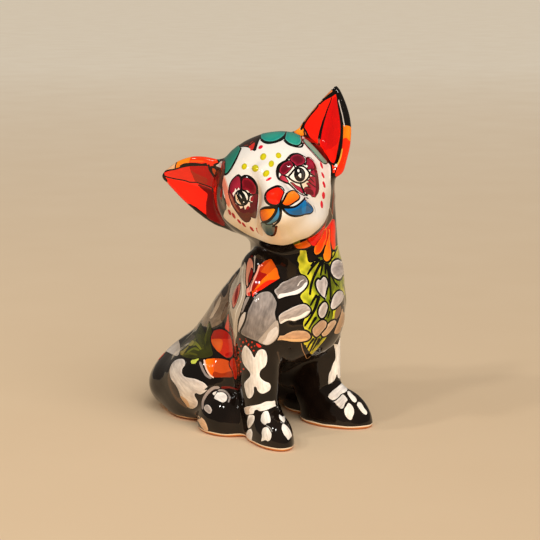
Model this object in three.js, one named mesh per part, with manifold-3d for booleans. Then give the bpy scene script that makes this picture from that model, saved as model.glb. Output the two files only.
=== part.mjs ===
// Seated chihuahua statue, slip-cast and glazed: one solid body.
// Millimetres, +Z up. The dog looks along -Y with its left side at +X; the head
// is turned to its right and tilted. The form is a smooth implicit body made of
// named ellipsoids and tapered limbs; it is polygonised on a regular lattice,
// thinned by edge collapse, and cut flat at the table.
import * as THREE from 'three';
import Module from 'manifold-3d';

const DEG = Math.PI / 180;

// ---------------------------------------------------------------- sizes (mm)
const HEAD = { c: [-3, -26.5, 180], yaw: -51, pitch: 4, roll: 23 };     // head frame: side, up, forward
const SKULL = { c: [-1.8, 1, -1.8], r: [45.5, 39, 40.2] };
const MUZZLE = { c: [3, -17, 29], r: [19.5, 16, 23.5], k: 5 };
const BRIDGE = { a: [2.5, 12, 33.5], b: [4.5, -7, 43.5], ra: 7, rb: 8.8, k: 6 };
const CHIN = { c: [1.5, -31, 10], r: [25, 15, 25], k: 12 };
const EYE = { c: [23, 3, 25], r: [12, 11, 10.8], k: 6 };                // one each side
const EARS = [
  { base: [-45.4, 13.9, -4.1], tip: [-77.9, 39, -11], w: 24.2, t: 10, twist: -8, cup: 7, bow: [3.8, 1.5] },
  { base: [43.9, 20.5, -5.6], tip: [66.4, 50.7, -14], w: 24.1, t: 10, twist: 22, cup: 7, bow: [1.4, 2.2] },
];
const EAR_BLEND = 6, HEAD_BLEND = 6;
const NECK = { a: [20, -31.8, 120.3], b: [9, -25.6, 163], ra: [26.6, 29.2], rb: [36.7, 25.2], splay: -48, k: 30 };
const CHEST = { c: [-1, -37.6, 84.4], r: [40.7, 41.6, 34.6] };
const BELLY = { c: [0, -6, 69.5], r: [32.3, 37.9, 34], k: 12 };
const LOIN = { a: [0, -5.7, 92.4], ra: 27.3, b: [0, 48.2, 31.3], rb: 29.3, k: 14 };
const RUMP = { c: [0, 58.8, 20.3], r: [51.7, 32.1, 28.8], k: 20 };
const THIGH = { c: [38.7, 15.7, 30.4], r: [20, 31.7, 26.8], tilt: -12, k: 24 }; // one each side
const FLANK = { c: [27, -13, 46], r: [14, 20, 26], k: 10 };             // one each side, closes the side behind the leg
const HOCK = { c: [38.5, 35.3, 10], r: [12.7, 18.5, 11.6], k: 10 };     // one each side, heel behind the thigh
const HIND_PAW = { c: [43, -13, 8], r: [17.5, 23, 22], k: 5 };          // one each side
const LEGS = [                                                          // shoulder, then leg, right and left
  { a: [-23, -31, 120], b: [-31, -37, 92], ra: [13, 19], rb: [17, 24], splay: -18, k: 10 },
  { a: [-31, -37, 92], b: [-34.5, -43, 22], ra: [17, 24], rb: [13, 18.5], splay: -18, k: 8 },
  { a: [24.2, -32.4, 120], b: [25.9, -34.5, 92], ra: [13, 20.2], rb: [15.6, 22.1], splay: 18, k: 10 },
  { a: [25.9, -34.5, 92], b: [28, -38.8, 22], ra: [15.6, 22.1], rb: [11.9, 18.5], splay: 18, k: 8 },
];
const PAWS = [
  { c: [-36.5, -56, 4], r: [14.6, 29.5, 21], splay: -18, k: 8 },
  { c: [33, -54.4, 0], r: [17.1, 29.3, 28], splay: 20, k: 8 },
];
const TAIL = { from: [8, 90, 15], via: [52, 90, 5], to: [51, 44, 9], r0: 11.5, r1: 7.5, n: 9, k: 7 };
const CENTRE = [0, 8.65];                                              // so that the footprint box is centred

const LATTICE = 2.95;         // lattice step
const TARGET = 9000;          // triangles after thinning

// ---------------------------------------------------------------- small vector help
const add = (a, b) => [a[0] + b[0], a[1] + b[1], a[2] + b[2]];
const sub = (a, b) => [a[0] - b[0], a[1] - b[1], a[2] - b[2]];
const mul = (a, s) => [a[0] * s, a[1] * s, a[2] * s];
const dot = (a, b) => a[0] * b[0] + a[1] * b[1] + a[2] * b[2];
const cross = (a, b) => [a[1] * b[2] - a[2] * b[1], a[2] * b[0] - a[0] * b[2], a[0] * b[1] - a[1] * b[0]];
const unit = (a) => mul(a, 1 / Math.hypot(a[0], a[1], a[2]));
const mix = (a, b, t) => a + (b - a) * t;
const clamp01 = (t) => (t < 0 ? 0 : t > 1 ? 1 : t);

// ---------------------------------------------------------------- implicit pieces
const smin = (a, b, k) => { const h = Math.max(k - Math.abs(a - b), 0) / k; return Math.min(a, b) - h * h * k * 0.25; };
const smax = (a, b, k) => -smin(-a, -b, k);

function ellipsoid(x, y, z, r) {
  const a = x / r[0], b = y / r[1], c = z / r[2];
  const k0 = Math.sqrt(a * a + b * b + c * c);
  const k1 = Math.sqrt((a / r[0]) ** 2 + (b / r[1]) ** 2 + (c / r[2]) ** 2);
  return k1 > 1e-9 ? (k0 * (k0 - 1)) / k1 : -Math.min(r[0], r[1], r[2]);
}

// tapered limb with an oval section: r = [across, fore and aft], turned by splay about Z
function limb(x, y, z, L) {
  const C = Math.cos(L.splay * DEG), S = Math.sin(L.splay * DEG);
  const d = sub(L.b, L.a), p = [x - L.a[0], y - L.a[1], z - L.a[2]];
  const t = clamp01(dot(p, d) / dot(d, d));
  const ex = p[0] - t * d[0], ey = p[1] - t * d[1], ez = p[2] - t * d[2];
  const rs = mix(L.ra[0], L.rb[0], t), rf = mix(L.ra[1], L.rb[1], t);
  return ellipsoid(ex * C + ey * S, ex * S - ey * C, ez, [rs, rf, (rs + rf) / 2]);
}

function capsule(x, y, z, a, b, ra, rb) {
  const d = sub(b, a), p = [x - a[0], y - a[1], z - a[2]];
  const t = clamp01(dot(p, d) / dot(d, d));
  return Math.hypot(p[0] - t * d[0], p[1] - t * d[1], p[2] - t * d[2]) - mix(ra, rb, t);
}

function headFrame(h) {
  const a = h.yaw * DEG, e = h.pitch * DEG, r = h.roll * DEG;
  const f = [Math.sin(a) * Math.cos(e), -Math.cos(a) * Math.cos(e), Math.sin(e)];
  const s0 = [Math.cos(a), Math.sin(a), 0], u0 = cross(f, s0);
  return {
    s: add(mul(s0, Math.cos(r)), mul(u0, Math.sin(r))),
    u: add(mul(s0, -Math.sin(r)), mul(u0, Math.cos(r))),
    f,
  };
}

function earFrame(ear) {
  const d = sub(ear.tip, ear.base), L = Math.hypot(d[0], d[1], d[2]), a = mul(d, 1 / L);
  const n0 = unit(sub([0, 0, 1], mul(a, a[2])));
  let b0 = cross(n0, a);
  if (b0[0] * Math.sign(ear.base[0]) < 0) b0 = mul(b0, -1);               // points outward
  const C = Math.cos(ear.twist * DEG), S = Math.sin(ear.twist * DEG);
  return { ...ear, L: L + 2, a, b: add(mul(b0, C), mul(n0, S)), n: sub(mul(n0, C), mul(b0, S)) };
}

// leaf-shaped ear: oval section that runs out to a point, each edge bowed its own way, front face a shallow V with a crease
function earBody(q, F) {
  const d = sub(q, F.base), p = dot(d, F.a), w = dot(d, F.b), n = dot(d, F.n);
  const x = clamp01((p + 10) / (F.L + 10)), prof = 1 - x * x * x;
  const s = clamp01((w + 4) / 8), side = mix(1 - x ** F.bow[0], 1 - x ** F.bow[1], s * s * (3 - 2 * s));
  const W = Math.max(F.w * side, 0.8), T = Math.max(F.t * (0.25 + 0.75 * prof) * Math.min(1, prof * 6), 0.8);
  const a = w / W, b = n / T, k0 = Math.sqrt(a * a + b * b), k1 = Math.sqrt((a / W) ** 2 + (b / T) ** 2);
  let v = k1 > 1e-9 ? (k0 * (k0 - 1)) / k1 : -Math.min(W, T);
  v = smax(v, p - F.L, 3);
  v = smax(v, -p - 26, 8);
  const across = Math.min(Math.sqrt(w * w + 3) / W, 1);
  return smax(v, n - (3 - F.cup * (1 - x * x) * (1 - across)), 2.5);
}

const HF = headFrame(HEAD), EF = EARS.map(earFrame);
const TAIL_PTS = Array.from({ length: TAIL.n + 1 }, (_, i) => {
  const t = i / TAIL.n, u = 1 - t;
  return [0, 1, 2].map((k) => u * u * TAIL.from[k] + 2 * u * t * TAIL.via[k] + t * t * TAIL.to[k]).concat(mix(TAIL.r0, TAIL.r1, t));
});

function headBody(x, y, z) {
  const h = [x - HEAD.c[0], y - HEAD.c[1], z - HEAD.c[2]];
  const q = [dot(h, HF.s), dot(h, HF.u), dot(h, HF.f)];
  const at = (E, s) => ellipsoid(s - E.c[0], q[1] - E.c[1], q[2] - E.c[2], E.r);
  let v = at(SKULL, q[0]);
  v = smin(v, at(MUZZLE, q[0]), MUZZLE.k);
  v = smin(v, capsule(q[0], q[1], q[2], BRIDGE.a, BRIDGE.b, BRIDGE.ra, BRIDGE.rb), BRIDGE.k);
  v = smin(v, at(CHIN, q[0]), CHIN.k);
  v = smin(v, at(EYE, Math.abs(q[0])), EYE.k);
  return smin(v, Math.min(earBody(q, EF[0]), earBody(q, EF[1])), EAR_BLEND);
}

function statue(x, y, z) {
  const ax = Math.abs(x);
  let v = ellipsoid(x - CHEST.c[0], y - CHEST.c[1], z - CHEST.c[2], CHEST.r);
  v = smin(v, capsule(x, y, z, LOIN.a, LOIN.b, LOIN.ra, LOIN.rb), LOIN.k);
  v = smin(v, ellipsoid(x - RUMP.c[0], y - RUMP.c[1], z - RUMP.c[2], RUMP.r), RUMP.k);
  const C = Math.cos(THIGH.tilt * DEG), S = Math.sin(THIGH.tilt * DEG);
  const ty = y - THIGH.c[1], tz = z - THIGH.c[2];
  v = smin(v, ellipsoid(ax - THIGH.c[0], C * ty + S * tz, C * tz - S * ty, THIGH.r), THIGH.k);
  v = smin(v, ellipsoid(ax - HOCK.c[0], y - HOCK.c[1], z - HOCK.c[2], HOCK.r), HOCK.k);
  v = smin(v, ellipsoid(ax - FLANK.c[0], y - FLANK.c[1], z - FLANK.c[2], FLANK.r), FLANK.k);
  v = smin(v, limb(x, y, z, NECK), NECK.k);
  for (const L of LEGS) v = smin(v, limb(x, y, z, L), L.k);
  v = smin(v, ellipsoid(ax - HIND_PAW.c[0], y - HIND_PAW.c[1], z - HIND_PAW.c[2], HIND_PAW.r), HIND_PAW.k);
  for (const p of PAWS) {
    const c = Math.cos(p.splay * DEG), s = Math.sin(p.splay * DEG), px = x - p.c[0], py = y - p.c[1];
    v = smin(v, ellipsoid(px * c + py * s, px * s - py * c, z - p.c[2], p.r), p.k);
  }
  if (z < 45 && y > 15) {
    let tail = Infinity;
    for (let i = 0; i < TAIL.n; i++) tail = Math.min(tail, capsule(x, y, z, TAIL_PTS[i], TAIL_PTS[i + 1], TAIL_PTS[i][3], TAIL_PTS[i + 1][3]));
    v = smin(v, tail, TAIL.k);
  }
  v = smin(v, ellipsoid(x - BELLY.c[0], y - BELLY.c[1], z - BELLY.c[2], BELLY.r), BELLY.k);
  if (z > 90) v = smin(v, headBody(x, y, z), HEAD_BLEND);
  return Math.max(v, -6 - z);                                             // runs on below the table, cut off later
}

// ---------------------------------------------------------------- polygonising on a lattice
function polygonise(f, lo, hi, h) {
  const n = [0, 1, 2].map((k) => Math.ceil((hi[k] - lo[k]) / h) + 1);
  const at = (i, j, k) => (k * n[1] + j) * n[0] + i;
  const val = new Float64Array(n[0] * n[1] * n[2]);
  for (let k = 0; k < n[2]; k++) for (let j = 0; j < n[1]; j++) for (let i = 0; i < n[0]; i++) {
    val[at(i, j, k)] = f(lo[0] + i * h, lo[1] + j * h, lo[2] + k * h);
  }
  const cell = new Map(), verts = [], tris = [];
  const corners = Array.from({ length: 8 }, (_, c) => [c & 1, (c >> 1) & 1, (c >> 2) & 1]);
  for (let k = 0; k + 1 < n[2]; k++) for (let j = 0; j + 1 < n[1]; j++) for (let i = 0; i + 1 < n[0]; i++) {
    const v = corners.map(([a, b, c]) => val[at(i + a, j + b, k + c)]);
    let inside = 0;
    for (const q of v) if (q < 0) inside++;
    if (inside === 0 || inside === 8) continue;
    let s = [0, 0, 0], m = 0;
    for (let a = 0; a < 8; a++) for (const bit of [1, 2, 4]) {
      const b = a | bit;
      if (b === a || (v[a] < 0) === (v[b] < 0)) continue;
      const t = v[a] / (v[a] - v[b]);
      for (let q = 0; q < 3; q++) s[q] += corners[a][q] + (corners[b][q] - corners[a][q]) * t;
      m++;
    }
    cell.set(at(i, j, k), verts.length);
    verts.push([lo[0] + (i + s[0] / m) * h, lo[1] + (j + s[1] / m) * h, lo[2] + (k + s[2] / m) * h]);
  }
  const quad = (a, b, c, d, flip) => {
    const q = [a, b, c, d].map((c0) => cell.get(c0));
    if (flip) q.reverse();
    const d02 = Math.hypot(...sub(verts[q[0]], verts[q[2]])), d13 = Math.hypot(...sub(verts[q[1]], verts[q[3]]));
    if (d02 <= d13) tris.push([q[0], q[1], q[2]], [q[0], q[2], q[3]]);
    else tris.push([q[1], q[2], q[3]], [q[1], q[3], q[0]]);
  };
  for (let k = 1; k + 1 < n[2]; k++) for (let j = 1; j + 1 < n[1]; j++) for (let i = 1; i + 1 < n[0]; i++) {
    const v0 = val[at(i, j, k)] < 0;
    if (v0 !== (val[at(i + 1, j, k)] < 0)) quad(at(i, j - 1, k - 1), at(i, j, k - 1), at(i, j, k), at(i, j - 1, k), !v0);
    if (v0 !== (val[at(i, j + 1, k)] < 0)) quad(at(i - 1, j, k - 1), at(i, j, k - 1), at(i, j, k), at(i - 1, j, k), v0);
    if (v0 !== (val[at(i, j, k + 1)] < 0)) quad(at(i - 1, j - 1, k), at(i, j - 1, k), at(i, j, k), at(i - 1, j, k), !v0);
  }
  return { verts, tris };
}

// a few damped steps of each vertex along the gradient, onto the true surface
function settle(f, verts, steps) {
  for (const p of verts) for (let s = 0; s < steps; s++) {
    const e = 0.05, v = f(p[0], p[1], p[2]);
    const g = [f(p[0] + e, p[1], p[2]) - v, f(p[0], p[1] + e, p[2]) - v, f(p[0], p[1], p[2] + e) - v].map((c) => c / e);
    const g2 = dot(g, g);
    if (g2 < 1e-6) break;
    const step = Math.max(-1, Math.min(1, v / Math.sqrt(g2))) / Math.sqrt(g2);
    for (let k = 0; k < 3; k++) p[k] -= g[k] * step;
  }
}

// ---------------------------------------------------------------- edge collapse
const faceNormal = (V, a, b, c) => cross(sub(V[b], V[a]), sub(V[c], V[a]));

// collapses the cheapest edge again and again; rule.best(a, b) gives the point and its cost
function collapse(mesh, rule) {
  const { verts } = mesh, tris = mesh.tris.map((t) => t.slice());
  const alive = tris.map(() => true), ring = verts.map(() => new Set());
  tris.forEach((t, i) => t.forEach((v) => ring[v].add(i)));
  const neighbours = (v) => { const s = new Set(); for (const t of ring[v]) for (const w of tris[t]) if (w !== v) s.add(w); return s; };
  const heap = [], stamp = new Int32Array(verts.length), gone = new Uint8Array(verts.length);
  const push = (x) => {
    heap.push(x); let i = heap.length - 1;
    while (i && heap[(i - 1) >> 1].e > heap[i].e) { const j = (i - 1) >> 1; [heap[i], heap[j]] = [heap[j], heap[i]]; i = j; }
  };
  const pop = () => {
    const top = heap[0], last = heap.pop();
    if (heap.length) {
      heap[0] = last; let i = 0;
      for (;;) {
        let j = 2 * i + 1; if (j >= heap.length) break;
        if (j + 1 < heap.length && heap[j + 1].e < heap[j].e) j++;
        if (heap[i].e <= heap[j].e) break;
        [heap[i], heap[j]] = [heap[j], heap[i]]; i = j;
      }
    }
    return top;
  };
  const offer = (a, b) => { const r = rule.best(a, b); if (r) push({ e: r.e, p: r.p, a, b, sa: stamp[a], sb: stamp[b] }); };
  for (let v = 0; v < verts.length; v++) for (const w of neighbours(v)) if (v < w) offer(v, w);
  let left = tris.length;
  while (heap.length && !rule.done(left, heap[0].e)) {
    const c = pop();
    if (gone[c.a] || gone[c.b] || stamp[c.a] !== c.sa || stamp[c.b] !== c.sb) continue;
    const na = neighbours(c.a), nb = neighbours(c.b);
    let shared = 0; for (const w of na) if (nb.has(w)) shared++;
    if (shared !== 2) continue;
    let ok = true;
    for (const v of [c.a, c.b]) {
      for (const t of ring[v]) {
        const T = tris[t]; if (T.includes(c.a) && T.includes(c.b)) continue;
        const n0 = faceNormal(verts, ...T), P = T.map((w) => (w === v ? c.p : verts[w]));
        const n1 = cross(sub(P[1], P[0]), sub(P[2], P[0]));
        const l0 = Math.hypot(...n0), l1 = Math.hypot(...n1);
        const longest = Math.max(...[0, 1, 2].map((k) => Math.hypot(...sub(P[k], P[(k + 1) % 3]))));
        if (l1 < 1e-3 || (l0 > rule.tiny && dot(n0, n1) < 0.5 * l0 * l1) || l1 < rule.thinnest * longest * longest) { ok = false; break; }
      }
      if (!ok) break;
    }
    if (!ok) continue;
    verts[c.a] = c.p;
    rule.merged(c.a, c.b);
    for (const t of [...ring[c.b]]) {
      const T = tris[t];
      if (T.includes(c.a)) { alive[t] = false; left--; for (const w of T) ring[w].delete(t); } else { T[T.indexOf(c.b)] = c.a; ring[c.a].add(t); }
    }
    gone[c.b] = 1; stamp[c.a]++;
    for (const w of neighbours(c.a)) offer(c.a, w);
  }
  const map = new Map(), out = [], faces = [];
  tris.forEach((t, i) => {
    if (!alive[i]) return;
    faces.push(t.map((v) => { if (!map.has(v)) { map.set(v, out.length); out.push(verts[v]); } return map.get(v); }));
  });
  return { verts: out, tris: faces };
}

// thinning: cost is the quadric error, with a little of the edge length squared
function thin(mesh, target) {
  const { verts } = mesh, Q = verts.map(() => new Float64Array(10));
  for (const t of mesh.tris) {
    const n = faceNormal(verts, ...t), A = Math.hypot(...n) / 2 || 1e-12, u = mul(n, 1 / (2 * A)), d = -dot(u, verts[t[0]]);
    const q = [u[0] * u[0], u[0] * u[1], u[0] * u[2], u[0] * d, u[1] * u[1], u[1] * u[2], u[1] * d, u[2] * u[2], u[2] * d, d * d];
    for (const v of t) for (let k = 0; k < 10; k++) Q[v][k] += q[k] * A;
  }
  const err = (q, p) => q[0] * p[0] * p[0] + 2 * q[1] * p[0] * p[1] + 2 * q[2] * p[0] * p[2] + 2 * q[3] * p[0]
    + q[4] * p[1] * p[1] + 2 * q[5] * p[1] * p[2] + 2 * q[6] * p[1] + q[7] * p[2] * p[2] + 2 * q[8] * p[2] + q[9];
  const det3 = (M) => M[0][0] * (M[1][1] * M[2][2] - M[1][2] * M[2][1]) - M[0][1] * (M[1][0] * M[2][2] - M[1][2] * M[2][0])
    + M[0][2] * (M[1][0] * M[2][1] - M[1][1] * M[2][0]);
  function best(a, b) {
    const q = Q[a].map((v, k) => v + Q[b][k]);
    const m = [[q[0], q[1], q[2]], [q[1], q[4], q[5]], [q[2], q[5], q[7]]], r = [-q[3], -q[6], -q[8]];
    const det = det3(m), mid = mul(add(verts[a], verts[b]), 0.5), len = Math.hypot(...sub(verts[a], verts[b]));
    let cand = [mid, verts[a], verts[b]];
    const scale = Math.abs(q[0]) + Math.abs(q[4]) + Math.abs(q[7]);
    if (Math.abs(det) > 1e-4 * scale ** 3) {
      const p = [0, 1, 2].map((k) => det3(m.map((row, i) => row.map((v, j) => (j === k ? r[i] : v)))) / det);
      if (Math.hypot(...sub(p, mid)) < 1.5 * len) cand = [p];
    }
    let bp = null, be = Infinity;
    for (const p of cand) { const e = err(q, p); if (e < be) { be = e; bp = p; } }
    return { p: bp, e: Math.max(be, 0) + 0.004 * len * len };
  }
  const merged = (a, b) => { for (let k = 0; k < 10; k++) Q[a][k] += Q[b][k]; };
  return collapse(mesh, { best, merged, done: (left) => left <= target, tiny: 0, thinnest: 0.12 });
}

// tidying after the cut: edges shorter than limit go, and what lies on the table stays on it
function tidy(mesh, limit) {
  const { verts } = mesh, rim = verts.map(() => 0);
  for (const t of mesh.tris) if (t.some((v) => verts[v][2] > 1e-4)) for (const v of t) if (verts[v][2] <= 1e-4) rim[v] = 1;
  const rank = (v) => (verts[v][2] > 1e-4 ? 0 : 1 + rim[v]);
  function best(a, b) {
    const len = Math.hypot(...sub(verts[a], verts[b]));
    if (len > limit) return null;
    const ra = rank(a), rb = rank(b);
    return { p: ra > rb ? verts[a] : rb > ra ? verts[b] : mul(add(verts[a], verts[b]), 0.5), e: len };
  }
  const merged = (a, b) => { rim[a] = Math.max(rim[a], rim[b]); };
  return collapse(mesh, { best, merged, done: () => false, tiny: 0.02, thinnest: 0.01 });
}

// ---------------------------------------------------------------- build
const raw = polygonise(statue, [-112.1, -100.3, -13.2], [112.3, 118.1, 262.2], LATTICE);
settle(statue, raw.verts, 3);
const light = thin(raw, TARGET);
settle(statue, light.verts, 2);
for (const p of light.verts) if (Math.abs(p[2]) < 0.8) p[2] = 0;         // the cut runs through these, no slivers

const wasm = await Module();
wasm.setup();
const { Manifold, Mesh } = wasm;

function toManifold(verts, tris) {
  return new Manifold(new Mesh({
    numProp: 3,
    vertProperties: new Float32Array(verts.flat()),
    triVerts: new Uint32Array(tris.flat()),
  }));
}

const slab = new THREE.BoxGeometry(400, 400, 60).toNonIndexed();
function boxMesh(g, at) {
  const pos = g.attributes.position, key = new Map(), verts = [], tris = [];
  for (let i = 0; i < pos.count; i++) {
    const p = [pos.getX(i) + at[0], pos.getY(i) + at[1], pos.getZ(i) + at[2]], id = p.join();
    if (!key.has(id)) { key.set(id, verts.length); verts.push(p); }
    if (i % 3 === 0) tris.push([]);
    tris[tris.length - 1].push(key.get(id));
  }
  return { verts, tris };
}
const under = boxMesh(slab, [0, 0, -30]);                              // everything below the table top

const solid = toManifold(light.verts, light.tris).subtract(toManifold(under.verts, under.tris));
const cut = solid.getMesh();
const cutVerts = Array.from({ length: cut.numVert }, (_, i) => {
  const p = Array.from(cut.vertProperties.slice(i * cut.numProp, i * cut.numProp + 3));
  if (Math.abs(p[2]) < 1e-3) p[2] = 0;
  return p;
});
const cutTris = Array.from({ length: cut.triVerts.length / 3 }, (_, i) => Array.from(cut.triVerts.slice(3 * i, 3 * i + 3)));
const body = tidy({ verts: cutVerts, tris: cutTris }, 0.7);

const positions = new Float32Array(body.verts.flatMap((p) => [p[0] - CENTRE[0], p[1] - CENTRE[1], p[2]]));
const geometry = new THREE.BufferGeometry();
geometry.setAttribute('position', new THREE.BufferAttribute(positions, 3));
geometry.setIndex(body.tris.flat());
geometry.computeVertexNormals();

const glaze = new THREE.MeshStandardMaterial({ name: 'glazed_ceramic', color: 0xd9d2c4, roughness: 0.25, metalness: 0 });
const statueMesh = new THREE.Mesh(geometry, glaze);
statueMesh.name = 'chihuahua_statue';

const group = new THREE.Group();
group.name = 'talavera_chihuahua_statue';
group.add(statueMesh);
export default group;
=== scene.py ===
import bpy
import math
import numpy as np
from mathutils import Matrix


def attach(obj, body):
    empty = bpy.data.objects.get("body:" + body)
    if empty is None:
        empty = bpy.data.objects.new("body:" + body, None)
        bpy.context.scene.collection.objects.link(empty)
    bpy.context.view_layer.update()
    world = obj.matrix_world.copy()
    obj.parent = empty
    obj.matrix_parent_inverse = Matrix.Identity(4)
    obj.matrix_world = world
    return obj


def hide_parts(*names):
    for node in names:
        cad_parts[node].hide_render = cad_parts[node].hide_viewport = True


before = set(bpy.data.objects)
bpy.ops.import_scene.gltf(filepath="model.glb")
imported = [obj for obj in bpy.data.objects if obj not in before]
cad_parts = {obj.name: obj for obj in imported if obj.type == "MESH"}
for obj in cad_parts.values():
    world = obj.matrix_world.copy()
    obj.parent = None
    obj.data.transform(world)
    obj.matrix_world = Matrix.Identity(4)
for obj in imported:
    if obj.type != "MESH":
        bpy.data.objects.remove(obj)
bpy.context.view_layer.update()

# Everything below is worked out in millimetres in the model's own axes and
# moved to the row frame at the end by CENTRE.
CENTRE = np.array([0.0, 8.65, 0.0])
DEG = math.pi / 180
NODE = "chihuahua_statue"
GRAZE = 0.8          # a ray that goes in less than this, in mm, counts as passing the outline

# ------------------------------------------------------------------ the form
HEAD = dict(c=(-3, -26.5, 180), yaw=-51, pitch=4, roll=23)
SKULL = dict(c=(-1.8, 1, -1.8), r=(45.5, 39, 40.2))
MUZZLE = dict(c=(3, -17, 29), r=(19.5, 16, 23.5), k=5)
BRIDGE = dict(a=(2.5, 12, 33.5), b=(4.5, -7, 43.5), ra=7, rb=8.8, k=6)
CHIN = dict(c=(1.5, -31, 10), r=(25, 15, 25), k=12)
EYE = dict(c=(23, 3, 25), r=(12, 11, 10.8), k=6)
EARS = [
    dict(base=(-45.4, 13.9, -4.1), tip=(-77.9, 39, -11), w=24.2, t=10, twist=-8, cup=7, bow=(3.8, 1.5)),
    dict(base=(43.9, 20.5, -5.6), tip=(66.4, 50.7, -14), w=24.1, t=10, twist=22, cup=7, bow=(1.4, 2.2)),
]
EAR_BLEND, HEAD_BLEND = 6, 6
NECK = dict(a=(20, -31.8, 120.3), b=(9, -25.6, 163), ra=(26.6, 29.2), rb=(36.7, 25.2), splay=-48, k=30)
CHEST = dict(c=(-1, -37.6, 84.4), r=(40.7, 41.6, 34.6))
BELLY = dict(c=(0, -6, 69.5), r=(32.3, 37.9, 34), k=12)
LOIN = dict(a=(0, -5.7, 92.4), ra=27.3, b=(0, 48.2, 31.3), rb=29.3, k=14)
RUMP = dict(c=(0, 58.8, 20.3), r=(51.7, 32.1, 28.8), k=20)
THIGH = dict(c=(38.7, 15.7, 30.4), r=(20, 31.7, 26.8), tilt=-12, k=24)
FLANK = dict(c=(27, -13, 46), r=(14, 20, 26), k=10)
HOCK = dict(c=(38.5, 35.3, 10), r=(12.7, 18.5, 11.6), k=10)
HIND_PAW = dict(c=(43, -13, 8), r=(17.5, 23, 22), k=5)
LEGS = [
    dict(a=(-23, -31, 120), b=(-31, -37, 92), ra=(13, 19), rb=(17, 24), splay=-18, k=10),
    dict(a=(-31, -37, 92), b=(-34.5, -43, 22), ra=(17, 24), rb=(13, 18.5), splay=-18, k=8),
    dict(a=(24.2, -32.4, 120), b=(25.9, -34.5, 92), ra=(13, 20.2), rb=(15.6, 22.1), splay=18, k=10),
    dict(a=(25.9, -34.5, 92), b=(28, -38.8, 22), ra=(15.6, 22.1), rb=(11.9, 18.5), splay=18, k=8),
]
PAWS = [
    dict(c=(-36.5, -56, 4), r=(14.6, 29.5, 21), splay=-18, k=8),
    dict(c=(33, -54.4, 0), r=(17.1, 29.3, 28), splay=20, k=8),
]
TAIL = dict(a=(8, 90, 15), via=(52, 90, 5), b=(51, 44, 9), r0=11.5, r1=7.5, n=9, k=7)


def unit(v):
    v = np.asarray(v, float)
    return v / np.linalg.norm(v)


def smin(a, b, k):
    h = np.maximum(k - np.abs(a - b), 0) / k
    return np.minimum(a, b) - h * h * k * 0.25


def smax(a, b, k):
    return -smin(-a, -b, k)


def ellipsoid(x, y, z, r):
    a, b, c = x / r[0], y / r[1], z / r[2]
    k0 = np.sqrt(a * a + b * b + c * c)
    k1 = np.sqrt((a / r[0]) ** 2 + (b / r[1]) ** 2 + (c / r[2]) ** 2)
    return k0 * (k0 - 1) / np.maximum(k1, 1e-9)


def mix(a, b, t):
    return a + (b - a) * t


def limb(x, y, z, L):
    C, S = math.cos(L["splay"] * DEG), math.sin(L["splay"] * DEG)
    a, b = np.array(L["a"], float), np.array(L["b"], float)
    d = b - a
    px, py, pz = x - a[0], y - a[1], z - a[2]
    t = np.clip((px * d[0] + py * d[1] + pz * d[2]) / (d @ d), 0, 1)
    ex, ey, ez = px - t * d[0], py - t * d[1], pz - t * d[2]
    rs, rf = mix(L["ra"][0], L["rb"][0], t), mix(L["ra"][1], L["rb"][1], t)
    return ellipsoid(ex * C + ey * S, ex * S - ey * C, ez, (rs, rf, (rs + rf) / 2))


def capsule(x, y, z, a, b, ra, rb):
    a, b = np.array(a, float), np.array(b, float)
    d = b - a
    px, py, pz = x - a[0], y - a[1], z - a[2]
    t = np.clip((px * d[0] + py * d[1] + pz * d[2]) / (d @ d), 0, 1)
    return np.sqrt((px - t * d[0]) ** 2 + (py - t * d[1]) ** 2 + (pz - t * d[2]) ** 2) - mix(ra, rb, t)


def head_frame(h):
    a, e, r = h["yaw"] * DEG, h["pitch"] * DEG, h["roll"] * DEG
    f = np.array([math.sin(a) * math.cos(e), -math.cos(a) * math.cos(e), math.sin(e)])
    s0 = np.array([math.cos(a), math.sin(a), 0.0])
    u0 = np.cross(f, s0)
    return s0 * math.cos(r) + u0 * math.sin(r), u0 * math.cos(r) - s0 * math.sin(r), f


HS, HU, HFW = head_frame(HEAD)
HC = np.array(HEAD["c"], float)


def ear_frame(ear):
    base, tip = np.array(ear["base"], float), np.array(ear["tip"], float)
    d = tip - base
    L = np.linalg.norm(d)
    a = d / L
    n0 = unit(np.array([0, 0, 1.0]) - a * a[2])
    b0 = np.cross(n0, a)
    if b0[0] * base[0] < 0:
        b0 = -b0
    C, S = math.cos(ear["twist"] * DEG), math.sin(ear["twist"] * DEG)
    return dict(ear, base=base, L=L + 2, a=a, b=b0 * C + n0 * S, n=n0 * C - b0 * S)


EF = [ear_frame(e) for e in EARS]


def ear_coords(q, F):
    d = [q[i] - F["base"][i] for i in range(3)]
    return [sum(d[i] * F[k][i] for i in range(3)) for k in ("a", "b", "n")]


def ear_body(q, F):
    p, w, n = ear_coords(q, F)
    x = np.clip((p + 10) / (F["L"] + 10), 0, 1)
    prof = 1 - x * x * x
    s = np.clip((w + 4) / 8, 0, 1)
    W = np.maximum(F["w"] * mix(1 - x ** F["bow"][0], 1 - x ** F["bow"][1], s * s * (3 - 2 * s)), 0.8)
    T = np.maximum(F["t"] * (0.25 + 0.75 * prof) * np.minimum(1, prof * 6), 0.8)
    a, b = w / W, n / T
    k0 = np.sqrt(a * a + b * b)
    v = k0 * (k0 - 1) / np.maximum(np.sqrt((a / W) ** 2 + (b / T) ** 2), 1e-9)
    v = smax(v, p - F["L"], 3)
    v = smax(v, -p - 26, 8)
    across = np.minimum(np.sqrt(w * w + 3) / W, 1)
    return smax(v, n - (3 - F["cup"] * (1 - x * x) * (1 - across)), 2.5)


def head_coords(x, y, z):
    h = (x - HC[0], y - HC[1], z - HC[2])
    return [h[0] * A[0] + h[1] * A[1] + h[2] * A[2] for A in (HS, HU, HFW)]


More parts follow.
